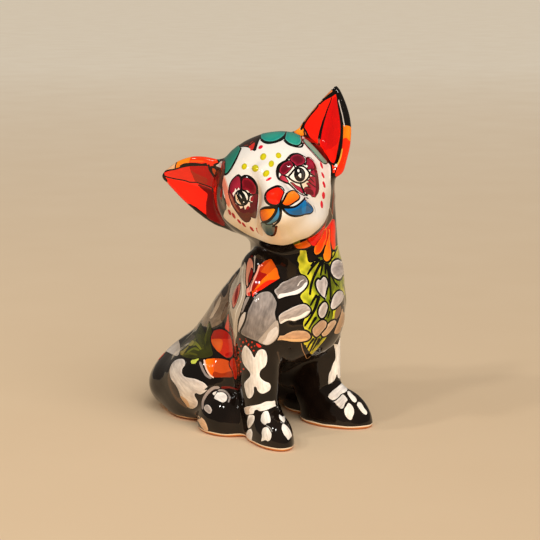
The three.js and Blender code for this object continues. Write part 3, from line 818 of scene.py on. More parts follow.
for s in (-1, 1):
    for k, (dx, dy, a, col, col2) in enumerate(((0, 0, 25, RED, ORANGE), (0, 0, 75, ORANGE, AMBER), (0, 0, 125, RED, ORANGE_D), (0, 0, -25, MOSS, OLIVE), (0, 0, -70, GREEN, OLIVE))):
        c, v = math.cos(a * DEG), math.sin(a * DEG)
        p = np.array(petal(4, 0, 21, 0, 10))
        q = np.stack([p[:, 0] * c - p[:, 1] * v, p[:, 0] * v + p[:, 1] * c], 1) * np.array([s, 1])
        local((s * 30, 84, 30), (0, 0, 1), q, col, col2=col2, lift=0.25)
    local((s * 30, 84, 30), (0, 0, 1), oval(0, 0, 3.4, 3.4), AMBER, lift=0.5)
for k, t in enumerate(np.linspace(0, 1, 5)):
    local((9 + 2 * math.sin(3 * t), 8 + 3 * t, 128 + 32 * t), (0, 0, 1), VERTEBRA, GREY, rim=WHITE, band=1.4, streak=0.06, lift=0.4, slope=2, edge=0.5)
for z in (122, 140, 158):
    for x in (-14, 34):
        local((x, 5, z), (0, 0, 1), oval(0, 0, 2.3, 2.3), ORANGE if z == 140 else LIME, lift=0.5, edge=0.3)

# left shoulder and flank, hidden in the photograph: a shoulder bone, ribs, and leaves at the breast's edge
local((45.5, -30, 100), (0, 0, 1), [(-3, 20), (5, 20), (11, 13), (13, 3), (15, -8), (13, -18), (4, -22), (-8, -19), (-15, -14), (-14, -5), (-12, 6), (-8, 15)], srgb(120, 111, 106), rim=srgb(168, 158, 150), band=1.4, grain=0.3, wash=0.1, lift=0.5, slope=3, edge=0.6)
for at, a, n in (((38, -2, 112), 24, 13), ((36, 0, 96), 14, 14), ((36, 4, 81), 4, 12)):
    p = np.array(petal(-n, 0, n, 0, 9, waist=0.55))
    c, v = math.cos(a * DEG), math.sin(a * DEG)
    local(at, (0, 0, 1), np.stack([p[:, 0] * c - p[:, 1] * v, p[:, 0] * v + p[:, 1] * c], 1), srgb(160, 150, 144), rim=WHITE, band=1.2, grain=0.3, lift=0.4, slope=2, edge=0.5)
for a, col, col2 in ((8, RED, ORANGE), (80, ORANGE, AMBER), (152, RED, ORANGE), (224, MOSS, OLIVE), (296, ORANGE, AMBER)):
    c, v = math.cos(a * DEG), math.sin(a * DEG)
    p = np.array(petal(3, 0, 15, 0, 8))
    local((41, -20, 166), (0, 0, 1), np.stack([p[:, 0] * c - p[:, 1] * v, p[:, 0] * v + p[:, 1] * c], 1), col, col2=col2, lift=0.25)
local((41, -20, 166), (0, 0, 1), oval(0, 0, 2.8, 2.8), AMBER, lift=0.5)

# ---- back and flank, as far as they show
px([(243, 256), (238, 263), (231, 271), (225, 281), (218, 290), (210, 300), (203, 310), (196, 320), (192.6, 326), (197.4, 329.6), (204, 326), (210, 328), (216, 326), (222, 322), (226, 316), (229.4, 306), (230, 296), (232, 285), (238, 275), (244, 265)],
   srgb(132, 112, 92), col2=srgb(104, 86, 70), grain=0.42, wash=0.12, fade="up", edge=0, lift=0.2, depth=40, face=-0.2)
for p, c in (([(214, 309), (217.6, 301), (221, 296), (221.4, 300), (218, 309), (212.4, 318), (209.6, 318)], srgb(186, 166, 144)), ([(201.4, 317), (206, 308.6), (209.6, 304.4), (208.8, 309.4), (205, 316.6), (202.4, 321)], srgb(158, 136, 112)),
             ([(220.8, 318), (224.4, 308), (227.8, 302), (228.6, 306), (226.4, 314), (222.8, 321)], srgb(96, 70, 50)), ([(222.4, 287), (225.6, 283), (228.6, 285), (228, 291), (224.6, 297), (222, 293.6)], srgb(40, 28, 20)),
             ([(226.4, 280.4), (230, 274), (234.6, 267.4), (238, 263.4), (238.8, 266), (235.6, 273.6), (231.6, 280.6), (228.8, 284)], srgb(30, 21, 15)), ([(238.6, 262), (241.6, 258.6), (243.6, 261), (242.4, 268.6), (239.2, 275.6), (236.8, 274)], srgb(24, 17, 12)),
             ([(213, 296.6), (217, 291.4), (219.4, 292.8), (216.4, 298.6)], srgb(60, 44, 32)), ([(232, 285), (235.6, 278.4), (238.4, 276.4), (236.4, 282.6), (233, 288.4)], srgb(170, 152, 132))):
    px(p, c, grain=0.3, edge=0.12, depth=40, face=-0.2)
# light band down the shoulder's back
px([(245, 261.5), (246.5, 268), (245.6, 279), (246.5, 288), (245.5, 297), (243, 305), (240.5, 313), (238, 322), (237.5, 334), (236.5, 345), (234.3, 346), (233, 334), (232.5, 322), (229.8, 308), (229, 298), (231.5, 285), (238, 274), (242.5, 266)],
   CREAM, col2=srgb(172, 160, 144), streak=0.13, fine_streak=0.8, wash=0.08, fade="up", edge=0.3, lift=0.2)
stroke([(243.4, 266), (242, 278), (243.2, 290), (241, 301), (236.4, 312), (235, 324), (235.6, 338)], 0.5, 0.3, col=srgb(226, 218, 204))
stroke([(240.8, 276), (238.4, 282), (234, 288)], 0.5, 0.3, col=srgb(104, 92, 80))
px([(240.6, 282.8), (238.5, 285), (235.5, 288), (233, 293), (232, 299), (232.3, 304), (233.3, 308.4), (236, 304.5), (238.6, 297), (240.2, 290)], srgb(214, 126, 104), col2=srgb(186, 88, 70), fade="up", streak=0.06, edge=0.3, lift=0.2)
px([(238, 286.5), (236.4, 290), (235, 296), (234.6, 304.5), (236.2, 302), (237.8, 296), (238.6, 290)], srgb(132, 14, 10), edge=0)
px([(249.5, 257.5), (252, 259), (253.4, 264), (253.2, 270), (251, 276), (248.8, 283), (247.4, 289), (245.8, 284), (245.6, 276), (246.4, 266), (247.6, 261)], srgb(208, 146, 120), col2=srgb(182, 112, 90), streak=0.14, fine_streak=0.8, fade="up", edge=0.3)
px([(251.6, 267.5), (253, 272), (252.2, 277), (250.4, 281.5), (248.6, 284.4), (248.3, 279), (249.8, 273)], srgb(150, 14, 8), col2=srgb(110, 8, 6), edge=0.25, lift=0.2)
stroke([(254.6, 256), (254.9, 264), (253.9, 272)], 0.55, 0.4, col=srgb(156, 146, 136))
px([(256.6, 254.5), (258.3, 257), (258.8, 263), (257.2, 268), (255.4, 273.5), (254.6, 275.5), (254.8, 265), (255.4, 258)], srgb(12, 9, 8), edge=0)
px([(259.4, 265.5), (258.4, 270), (255.4, 277), (252.6, 284), (251, 290), (251.2, 295), (249, 297), (246.4, 295.5), (246.2, 289), (248.4, 287), (251.4, 281), (255, 273.5), (257.6, 267.5)], srgb(226, 156, 138), col2=srgb(196, 104, 92), streak=0.06, fade="up", edge=0.25, lift=0.15)
px([(247.6, 292.6), (250.2, 292.4), (250.6, 295.4), (248.4, 296.2)], srgb(204, 58, 44), edge=0)
px([(247, 296.5), (249.8, 297), (247.4, 302.5), (244.6, 308.5), (242, 314.5), (240.8, 312), (243, 305), (244.8, 299.5)], srgb(150, 140, 134), streak=0.1, edge=0.25)
px([(251.3, 296.8), (252.2, 299.5), (249.4, 305), (246.6, 310), (245.2, 308), (247.4, 302)], srgb(24, 16, 10), edge=0)
px([(246.4, 310.5), (245.4, 318), (242.4, 327), (240.2, 333.5), (238, 331), (238.6, 323), (241.4, 315)], srgb(206, 196, 188), wash=0.06, edge=0.25)
# green leaf fan over the thigh
both([(178.5, 354), (179.5, 347), (186, 339), (192, 333), (197, 328.5), (200.5, 322.5), (203.5, 328.5), (206, 333), (208.5, 325), (210, 321.5), (212, 331), (211.3, 345), (213, 355), (206, 358), (196, 359), (186, 358)], srgb(34, 35, 12), col2=srgb(58, 60, 18), fade="right", mottle=0.5, edge=0.2, lift=0.2, face=-0.1)
for w, w1, p, c in ((1.4, 0.6, [(208.6, 325), (206, 336), (204, 346)], srgb(76, 78, 20)), (1.3, 0.5, [(196, 331), (199.5, 341), (203, 349)], srgb(66, 68, 20)),
                    (1.2, 0.5, [(192.5, 341.5), (197, 344.5), (201, 349.5)], srgb(122, 124, 36)), (1.3, 0.5, [(188, 352), (194, 348.5), (199, 350.5)], srgb(102, 108, 30)),
                    (1.0, 0.5, [(183, 355), (190, 353.5), (197, 355)], srgb(84, 84, 22)), (1.0, 0.4, [(201, 331), (203.5, 340), (205.5, 350)], srgb(52, 54, 16))):
    stroke(p, w, w1, col=c, fine=True)
    stroke(p, w, w1, col=c, mirror=True)
both([(179.6, 340.5), (185, 336), (190, 333.6), (195.5, 337), (191, 341), (186, 344.5), (180.5, 346.5)], srgb(92, 82, 68), col2=srgb(74, 66, 54), wash=0.15, edge=0)
both([(180, 353), (181.5, 348), (185.5, 345), (189, 346.6), (186.5, 350), (182.5, 355.6)], srgb(136, 122, 30), col2=srgb(150, 134, 66), edge=0.15)
both([(188.2, 345.4), (190.8, 341.8), (193.6, 340.2), (194.3, 342.8), (191.4, 346.2)], srgb(158, 148, 60), edge=0.15)
both([(189.8, 359.2), (194, 359.4), (199, 358), (199.3, 359.6), (197, 361.4), (195.7, 363.9), (191, 363.9), (190.7, 361.2)], srgb(196, 208, 84), edge=0.25, lift=0.2)
# white patch on the rump
for s in (-1, 1):
    q = np.array([(0, -31), (2.4, -27), (3.6, -16), (5, -4), (6.4, 8), (7, 15), (3, 20), (-4, 19), (-7.6, 13), (-6.4, 2), (-4.6, -12), (-2.4, -26)]) * np.array([s, 1])
    local((s * 31, 60, 46.5), (s * -0.53, 0.84, -0.1), q, srgb(232, 224, 216), col2=srgb(206, 190, 174), fade="up", edge=0.35, lift=0.2, face=-0.1)
# red and orange petals at the flank
both([(224.6, 327.5), (226.6, 320), (228.5, 312.6), (231, 319), (232.5, 327), (232.6, 334), (229, 332.5), (226, 330)], srgb(196, 24, 6), col2=srgb(224, 76, 56), fade="edge", mottle=0.1, edge=0.35, lift=0.25)
both([(213.4, 331), (217, 329), (221, 328.7), (226, 330.3), (229.8, 334), (232.2, 340), (233.2, 348), (233.3, 354), (231, 357.4), (227, 358.4), (223, 356.4), (218, 352.4), (213.4, 347.6), (210.8, 342), (211, 337)], srgb(206, 46, 24), edge=0.45, lift=0.3)
both([(213.8, 331.6), (217, 329.8), (221, 329.4), (226, 331.2), (229, 334.6), (230.6, 338.6), (222, 339), (212.2, 339)], srgb(172, 36, 6), col2=srgb(176, 12, 4), fade="right", edge=0)
both([(212, 339.4), (222, 339.4), (222.4, 347), (219.4, 352.4), (213.8, 346.8), (211.6, 342)], srgb(228, 84, 8), col2=srgb(232, 104, 40), fade="edge", edge=0)
both([(226, 353.6), (232.4, 352), (232.2, 355.4), (230, 357.4), (226, 357.4)], srgb(182, 16, 6), edge=0)
both([(204.3, 361), (206.5, 358.6), (212, 358), (220, 357.8), (226, 359), (231, 361.5), (232.4, 368), (233, 377.2), (225, 377.6), (213.5, 377.4), (210, 375), (206.5, 370), (204.7, 365)], srgb(204, 80, 28), edge=0.45, lift=0.3)
both([(204.9, 361.4), (207, 359.2), (212, 358.7), (215, 358.7), (214, 368), (212.8, 377), (210.3, 374.4), (207, 369.6), (205.3, 365)], srgb(254, 138, 12), col2=srgb(252, 84, 8), fade="right", mottle=0.08, edge=0)
both([(214, 371.6), (222, 373.4), (232.2, 371), (232.5, 376.8), (225, 377.2), (213.4, 377)], srgb(156, 48, 10), edge=0)
strokes([(0.5, 0.4, [(204.2, 360), (206, 368), (209.6, 374.6), (213.4, 377.6)])], col=srgb(240, 206, 190), fine=True)
both([(229.6, 361), (232.6, 357.6), (234.2, 357.5), (235.7, 363), (237.2, 372), (236.6, 379.6), (234, 378.4), (232.6, 371.5), (229.8, 366.5)], srgb(206, 46, 10), col2=srgb(170, 20, 6), wash=0.08, edge=0.35, lift=0.2)
strokes([(0.7, 0.7, [(200, 362.4), (203, 370), (206, 375), (210.6, 378)])], col=srgb(140, 132, 130))
# thigh bone
bone([(169.4, 370), (171.3, 364.5), (175, 360), (179, 358.2), (183.6, 358.2), (185.7, 361), (185.5, 365), (183.2, 368.5), (182.5, 372), (184.5, 375.5), (189, 377), (195, 378), (200, 380), (205, 382.5), (208.4, 386.5), (208.2, 390), (204, 393.7),
      (200, 395.2), (196.3, 393.8), (195.2, 395.4), (197.2, 399), (198.5, 402.5), (197.2, 406.8), (193.5, 409.3), (189, 408.2), (185, 404), (180.5, 397), (178, 390), (175, 385), (171.3, 380), (169.6, 375)],
     srgb(196, 184, 178), rim=srgb(236, 230, 224), two=True, slope=2.5, face=-0.15, col2=srgb(222, 214, 206), fade="edge")
both([(180, 395.6), (184, 397), (188, 401), (190, 406), (188, 407.4), (185, 403.5), (181.5, 398.8)], srgb(206, 170, 134), edge=0)
both([(185.6, 366.8), (189, 364.6), (195, 364.2), (200, 367.6), (204.2, 374.6), (207, 379.6), (203, 380.6), (196, 377), (189, 376), (184.6, 374), (183.6, 370)], srgb(16, 13, 12), edge=0)
strokes([(0.8, 0.5, [(209.6, 387.2), (205.4, 389.4)])], fine=True)
# painted reflection: a brown band of the floor mirrored in the black glaze along the bone's left edge, darker inside
both([(168.6, 371.4), (170.4, 380.6), (174.6, 389.6), (180, 398.6), (187, 407.4), (183, 406), (176.4, 400.4), (170.8, 391.6), (167.6, 381)], srgb(92, 68, 48), col2=srgb(70, 50, 36), fade="up", edge=0)
both([(170.6, 381), (173.4, 384), (177, 391), (179, 398), (176, 396), (172, 389.4)], srgb(52, 34, 22), edge=0)

# ---- hind paw
strokes([(1.0, 0.8, [(202.6, 408), (202.8, 402), (205.4, 396), (209.4, 391), (214, 387.8), (218.6, 387.6)])], col=srgb(160, 146, 140))
stroke([(202.6, 408), (202.8, 402), (205.4, 396), (209.4, 391), (214, 387.8), (218.6, 387.6)], 1.0, 0.8, col=srgb(160, 146, 140), mirror=True)
strokes([(0.55, 0.5, [(218.6, 390.4), (224, 390.8), (228, 394), (229.6, 398), (228.4, 402)])], col=srgb(150, 142, 138))
bone([(214.3, 397), (216.6, 393.4), (221, 392), (225, 393.2), (227.2, 396.5), (226.7, 400.2), (223.5, 402.6), (220, 401.7), (217, 400), (214.6, 399)], WHITE, two=True, lift=0.35, edge=0.1)
bone([(212.2, 393.2), (215.4, 391.2), (218.4, 390.8), (216.2, 393.4), (214, 396)], srgb(206, 196, 190), two=True, lift=0.2, edge=0.2)
bone([(203.8, 407), (206, 404.2), (209, 404.4), (211.6, 407.5), (212.5, 411), (210.5, 414.2), (208, 413.8), (205, 411.2), (203.4, 409)], srgb(164, 154, 148), rim=srgb(232, 222, 214), two=True, lift=0.3, edge=0.4, band=1.0)
bone([(197.6, 414.5), (200.6, 416.4), (205, 420), (207.6, 426), (208.5, 431), (204, 430), (200, 425), (197.8, 419.5)], srgb(212, 172, 134), rim=srgb(224, 190, 156), two=True, lift=0.3, edge=0.3)
stroke([(222, 387.6), (230, 387.4), (238, 389.6)], 0.7, 0.4, col=srgb(110, 18, 10))

# ---- foreleg on the picture's left: black with red flecks, a long bone, the paw
both([(237, 336), (243, 336.5), (250, 340), (259, 343.5), (263, 346.5), (257, 350), (254, 355), (249, 347), (245, 343.5), (242, 347), (241, 356), (243.5, 366), (248, 373), (244, 374), (238, 374), (235.8, 350)], srgb(36, 20, 12), edge=0)
R = np.random.RandomState(5)
FLECKS = [(239.8, 339.2, 1, 1.4), (243, 342.3, 1.3, 1.6), (246.4, 341.2, 1.1, 1.4), (248.4, 344.6, 1, 2), (252, 342.2, 1.4, 1.2), (251.5, 347.2, 1.2, 1.2), (254.6, 346, 0.8, 1.2), (253.6, 350.6, 1.4, 1.2), (241, 346, 1, 1.3),
          (239, 348.8, 1, 1.2), (238.2, 352.6, 1.1, 1.5), (241.4, 351, 0.9, 1.3), (241.3, 356, 0.9, 1.4), (238.6, 358.6, 1, 1.6), (238.4, 365, 1, 1.7), (240.6, 362, 0.9, 1.3), (243.5, 369, 1.2, 1.4), (240.8, 371.6, 1.1, 1.2),
          (238.3, 373, 0.9, 1.4), (236.8, 345, 0.8, 1.5), (245.6, 338.6, 0.9, 1.0), (236.9, 360.6, 0.8, 1.4), (249.6, 339.6, 0.8, 0.8)]
for u, v, a, b in FLECKS:
    both(oval(u, v, 0.74 * a, 0.8 * b, 60 * R.rand() - 30, 7), srgb(198, 54, 28), edge=0, fine=True)
both([(256, 343.2), (259, 344.2), (261.6, 346.6), (259, 347.6), (256.8, 345.8)], srgb(222, 44, 30), edge=0, fine=True)
bone([(244.4, 345.2), (247, 345.8), (249.5, 348.5), (252, 352), (254.3, 356.8), (255.5, 354), (258, 350), (262, 348.6), (265.6, 350.2), (267.7, 355), (267.7, 361.5), (265.6, 366.7), (262, 369.7), (260.4, 372.5), (260.4, 376), (262.5, 379),
      (266, 381.2), (269.6, 382.4), (271.5, 385.5), (271.2, 389), (268.6, 391.7), (264, 394), (260.5, 393.7), (257.3, 391), (256, 387.6), (254.4, 387.6), (254.4, 392), (253.2, 396), (250.5, 398.8), (247.7, 398.2), (245.9, 394.5), (244.9, 390),
      (244, 386), (244.2, 382.5), (247, 379), (249.4, 376.5), (249.9, 373.5), (248, 370.5), (244.4, 366), (242.1, 361), (241.3, 355), (242.2, 349.5)],
     srgb(206, 196, 184), rim=srgb(248, 244, 240), two=True, col2=srgb(240, 235, 230), fade="right", mottle=0.25, edge=0.35, fine=True)
both([(258.4, 400), (258.6, 395.4), (262, 395), (268, 392), (272, 389.6), (276, 392.5), (276.8, 398.6), (268, 400.4), (260, 402.6)], srgb(15, 12, 11), edge=0)
bone([(244.2, 408), (247, 406.5), (253, 405.4), (260, 404), (266, 401.4), (272, 401), (276, 400), (278.2, 400.2), (279.8, 405), (279.6, 407.8), (276.5, 406.2), (272, 407.7), (266, 410.2), (260, 411.3), (257, 409.8), (254.6, 410.8), (253.6, 413.7),
      (250, 414.5), (246, 414.3), (244.8, 411.5)], srgb(238, 232, 226), edge=0.1, lift=0.35, streak=0.03, fine=True)
px([(244.6, 408.2), (247, 407), (251, 406.4), (249.6, 410), (249.6, 414), (246, 413.8), (245.2, 411)], srgb(206, 186, 168), edge=0)
for b, c in (([(248.4, 415.7), (251, 414.9), (254.1, 415.4), (254.5, 419.5), (252.6, 424), (249.4, 428), (247.6, 427), (247.2, 421.5)], srgb(204, 196, 190)),
             ([(249.2, 428.9), (251.1, 428.9), (252.5, 432.5), (252, 438), (250.6, 444.6), (248.4, 443), (246.1, 439), (246.1, 434), (247.2, 431)], srgb(228, 222, 216)),
             ([(262.4, 413), (265.5, 411), (268.1, 411.1), (269.7, 415), (270.7, 419), (270, 422.6), (266.8, 423.4), (265.5, 425), (262.8, 423.7), (260.8, 421), (261.1, 416.5)], WHITE),
             ([(262.6, 428.7), (265.5, 427), (268.1, 427.6), (270.5, 431), (271.7, 434.5), (270.7, 439.2), (268, 441.5), (265.5, 440.3), (261.2, 441.3), (261.9, 437), (261.6, 432.5)], WHITE),
             ([(279.2, 409.8), (281.2, 411.2), (283.7, 415), (285.2, 419.5), (284.1, 422.6), (281.4, 420.7), (279.1, 417.5)], WHITE),
             ([(282.4, 424.1), (285, 424.3), (288.2, 427.4), (290.7, 431.5), (292, 435.6), (290.1, 438.2), (288.3, 440.2), (286.6, 438.1), (283.3, 433.6), (281.6, 428.5)], WHITE)):
    bone(b, c, lift=0.35, edge=0.1, streak=0.03, fine=True)
strokes([(0.3, 0.3, [(266.4, 425.6), (270, 428), (272, 431.6)]), (0.3, 0.3, [(280.6, 421.8), (284.4, 424)])], col=srgb(150, 150, 148), fine=True)
stroke([(277.6, 352), (279.5, 362), (278.5, 378), (279, 395)], 0.5, 0.3, col=srgb(70, 56, 44))

# ---- foreleg on the picture's right
bone([(333.6, 341), (336, 337.8), (338.5, 336.6), (341.5, 339), (342.5, 345), (341.5, 352), (342, 360), (343, 368), (342.6, 376), (340.4, 378.8), (337.7, 378.2), (336.9, 374.3), (336.2, 377), (334.5, 380.7), (331, 383.6), (327.8, 384.6), (327.8, 379), (328.4, 374),
      (330.4, 370), (332.4, 364), (334.9, 359), (334.9, 352), (334.3, 349), (333.5, 345)], srgb(246, 242, 236), edge=0.3, fine=True)
bone([(341.6, 383.6), (345, 386.4), (347.4, 390), (344.5, 392.7), (341, 394.2), (338, 397.7), (334, 400.2), (331, 399.7), (328.1, 397), (329.3, 394), (333, 390.3), (337, 387.2)], srgb(232, 226, 222), edge=0.1, lift=0.35, streak=0.04, fine=True)
bone([(342.6, 394.2), (345.7, 396.5), (347.7, 400), (345.2, 403.2), (343.6, 407.8), (341, 408.8), (337.3, 405.7), (334.8, 402.7), (332.6, 401.6), (336, 400.4), (339.5, 397.2)], srgb(220, 214, 210), edge=0.12, lift=0.35, streak=0.06, fine=True)
for b in ([(348.5, 402.8), (351.7, 405), (353.7, 408.5), (354.2, 413), (352.7, 417), (351.5, 419.7), (349, 419.7), (345.9, 416.5), (344.3, 412.5), (344.3, 409), (346.4, 405.8)],
          [(347.4, 391.3), (349.5, 391.2), (352.2, 394), (355.2, 397), (356.9, 400), (355.6, 402.5), (352.4, 401.2), (349.4, 397.2), (347.6, 394)],
          [(358.9, 401.8), (361.6, 403.4), (364.2, 408), (367, 411.5), (366.5, 414.8), (363.4, 413.7), (359.8, 409.7), (357.1, 405.5), (357.3, 402.8)]):
    bone(b, srgb(238, 233, 228), lift=0.35, edge=0.1, streak=0.04, fine=True)
for u, v in ((288, 359.7), (329, 357)):
    px(oval(u, v, 1.6, 1.3, 20, 9), srgb(10, 8, 7), edge=0, fine=True)

# ---- neck
px([(299.6, 249.6), (306.4, 249.8), (307.2, 253), (308, 258), (308.8, 261.2), (310.5, 262), (314, 261), (318, 258.5), (322, 256.6), (326, 259), (329, 262), (331, 256), (333, 251), (337, 244), (341, 243), (344, 262), (345.5, 285), (343, 300), (338, 310), (335.5, 318), (331, 328),
    (326, 338.5), (322, 343.5), (318, 348.5), (314, 353), (311.3, 356), (308.4, 352.4), (305, 347), (302.8, 343), (304, 336), (304.4, 331), (302.6, 326), (302.8, 322), (306, 312), (303, 303), (299.6, 296), (305, 288), (304, 277), (300, 273.5), (298, 268), (298.4, 263.6), (296.8, 261),
    (297.3, 257), (299.2, 254)], srgb(206, 204, 44), col2=srgb(122, 136, 22), fade="edge", mottle=0.9, wash=0.2, grain=0.16, rim=srgb(222, 214, 70), band=0.9, edge=0.4, lift=0.2, depth=40, face=-0.1)
px([(318, 259), (322, 257), (326, 259.4), (331, 266), (333, 275), (335, 283), (333, 292), (331.5, 302), (333, 312), (330, 326), (326, 334), (322, 330), (327, 314), (329, 300), (328, 284), (323, 272)], srgb(98, 108, 18), wash=0.25, edge=0)
strokes([(1.05, 0.5, [(318.8, 259.6), (312.4, 267), (307.6, 274.6)]), (0.95, 0.7, [(321.4, 261), (318, 268), (314.6, 275), (311.4, 284), (309.8, 294.6)]), (0.9, 0.5, [(323.4, 260.4), (321.8, 268), (320.4, 275.6)]),
         (1.0, 0.6, [(325.4, 263.6), (325.2, 273.6)]), (1.2, 0.5, [(328.4, 266.6), (331, 275), (333.8, 281), (336.4, 286.2)]), (1.3, 0.6, [(327.2, 265), (328.6, 273), (329.6, 283), (330.6, 292), (330.2, 299.4)]),
         (0.9, 0.5, [(316.4, 295.6), (313.2, 300.4), (310.4, 305.4)]), (1.1, 0.6, [(318.8, 296.6), (316.6, 304), (313.8, 311), (310, 318), (304.6, 325.8)]), (0.9, 0.5, [(315.8, 317.6), (312.2, 323), (308.8, 329.2)]),
         (0.7, 0.4, [(329.2, 300.6), (330.8, 306.6)]), (0.6, 0.4, [(331.8, 308.6), (332.2, 316.4)]), (0.6, 0.4, [(329.4, 311.6), (327.6, 318)]), (0.9, 0.5, [(313.4, 338.8), (309.4, 344), (307.2, 348.6)]),
         (0.9, 0.5, [(316.4, 338.4), (312.8, 345), (309.6, 352.2)]), (0.8, 0.4, [(319, 338.4), (315.4, 345.4), (312.4, 350)]), (0.8, 0.4, [(321.8, 337.4), (317.4, 344.4)]), (0.8, 0.4, [(337, 247), (334.4, 254), (332, 258.6)]),
         (0.7, 0.4, [(335.6, 283.4), (338.4, 286.4)]), (0.6, 0.4, [(313.6, 262.4), (310.6, 266)])], fine=True)
px(oval(305.4, 345.8, 0.9, 0.9), LINE, edge=0, fine=True)
# on the hidden side the leaf's edge is cut into lobes, with a small leaf on each
for z, a in ((131, 60), (121, 15), (111.5, -16), (103, -44), (95, -70)):
    c, v = math.cos(a * DEG), math.sin(a * DEG)
    p = np.array([(-9, 0), (-2, 2.2), (6, 4), (7, 0), (6, -4), (-2, -2.2)])
    local((42.4, -50, z), (0, 0, 1), np.stack([p[:, 0] * c - p[:, 1] * v, p[:, 0] * v + p[:, 1] * c], 1), BLACK, edge=0)
for at, a, n, w, c1 in (((42, -49, 127), 62, 16, 8, srgb(140, 150, 24)), ((43, -48, 123), 28, 19, 9, srgb(186, 188, 34)), ((43, -49, 115), -2, 20, 9, srgb(140, 150, 24)), ((41, -52, 107), -30, 18, 9, srgb(186, 188, 34)), ((36, -58, 99), -58, 16, 8, srgb(140, 150, 24))):
    p = np.array(petal(-9, 0, n, 0, w))
    c, v = math.cos(a * DEG), math.sin(a * DEG)
    turn = lambda p: np.stack([p[:, 0] * c - p[:, 1] * v, p[:, 0] * v + p[:, 1] * c], 1)
    local(at, (0, 0, 1), turn(p), c1, col2=srgb(110, 124, 22), fade="edge", mottle=0.5, lift=0.25, edge=0.4)
    local(at, (0, 0, 1), turn(np.array([(-6, 0), (n * 0.4, 0.8), (n - 3, 0)])), LINE, line=(0.5, 0.25))
strokes([(0.22, 0.22, [(301.2, 343.4), (302.6, 349.6), (305.2, 355.2), (307, 358.6), (310.4, 356.2)])], col=srgb(176, 142, 108), fine=True)
# dark rim behind the face, and the petals at the throat
px([(332, 170), (334.6, 168), (335, 176), (335.2, 190), (334.8, 205), (333.6, 214), (331.4, 222), (328, 226), (325.6, 226), (328, 219), (330.4, 210), (331.6, 200), (332, 186)], srgb(13, 9, 7), edge=0)
local((25.2, -57.5, 173.7), (0, 0, 1), [(1.5, 15), (3.6, 6), (3.8, -4), (2, -13), (0, -17), (-1.6, -10), (-1.8, 0), (-1, 10)], srgb(96, 46, 28), rim=srgb(176, 62, 26), band=0.8, edge=0.25, lift=0.2)
local((38.4, -48.1, 142.8), (0, 0, 1), [(0.5, 9), (3.4, 5), (4.6, -1), (3.6, -7), (1, -10.5), (-1.4, -6), (-1.6, 1), (-1.2, 6)], srgb(132, 134, 116), rim=srgb(172, 172, 150), band=0.8, edge=0.3, lift=0.2)
# the petals' common red foot, then each petal
RED_P, AMB_P = srgb(240, 14, 2), srgb(255, 146, 22)
px([(293.4, 245), (297, 243.4), (301, 242), (308, 239.2), (315, 234.4), (321, 228.8), (325, 224.4), (325, 228), (322.6, 233), (320, 238.4), (316, 242.8), (311, 246.8), (306, 249), (300, 249.2), (296, 248.5)], srgb(236, 102, 10), edge=0.5, lift=0.25)
px([(307.4, 239.8), (315, 234.8), (321, 229.2), (325, 224.8), (327.4, 221.6), (331, 219.4), (334.4, 219.6), (335.6, 227), (335.6, 238), (334.6, 244), (331, 244.4), (326.6, 245), (321.4, 246.6), (316.4, 246.4), (311.6, 245.4), (309.6, 242.6)], RED_P, edge=0.15, slip=40, face=0)
px([(326.6, 228), (327.4, 233), (326.6, 238.6), (325.2, 243), (323.2, 248.4), (320.4, 252.8), (317, 254.6), (314.6, 253.5), (314, 249.5), (315.8, 244), (319.4, 238.8), (322.4, 233.6), (324.6, 229)], RED_P, col2=srgb(255, 84, 12), fade="along", mottle=0.1, rim=AMB_P, band=0.55, slip=40, edge=0.1, lift=0.3, fine=True)
px([(329.6, 228), (330.2, 234), (330, 240), (330.6, 246), (331.1, 253), (330.3, 258.7), (327.5, 261.3), (324.9, 261), (323.3, 257), (323.7, 251.6), (325.6, 246.4), (327.2, 240), (328, 233)], RED_P, col2=AMB_P, fade="along", mottle=0.1, rim=AMB_P, band=0.5, slip=40, edge=0.1, lift=0.3, fine=True)
px([(333, 220), (335.2, 226), (335.4, 234), (335.5, 241), (335.6, 247), (333.8, 249.8), (332, 247.6), (331, 241), (330.6, 233), (331, 225)], RED_P, col2=srgb(255, 70, 14), fade="along", mottle=0.1, slip=40, edge=0.1, lift=0.3, fine=True)
strokes([(0.5, 0.6, [(313.4, 250), (313.8, 254), (317, 255.6), (320.8, 253.9), (323, 250.6)]), (0.75, 0.2, [(322.9, 253.4), (324.2, 249), (325.8, 244.8)]), (0.55, 0.55, [(322.6, 255), (323.6, 260), (327.4, 262.4), (331, 260), (332, 254)]),
         (0.7, 0.2, [(332, 253), (331.4, 248.6), (330.4, 242.4)]), (0.55, 0.5, [(331.6, 249.4), (333.8, 251), (336.4, 249)])], fine=True)
strokes([(0.2, 0.3, [(328.6, 229), (328.2, 235), (327, 241)]), (0.2, 0.3, [(324.6, 230), (321.6, 236.4), (318, 241.6), (315.4, 245.4)])], col=srgb(196, 12, 4), fine=True)
px([(329.4, 207.6), (330.8, 208.4), (331.6, 213), (333, 217), (330.6, 222), (327.4, 226.6), (325.2, 228.4), (324.6, 226.6), (326.4, 221.4), (328, 215)], srgb(70, 48, 34), rim=srgb(168, 150, 122), band=0.4, edge=0, fine=True)
stroke([(252.3, 239.5), (255, 243.5), (258, 248)], 0.8, 0.4)
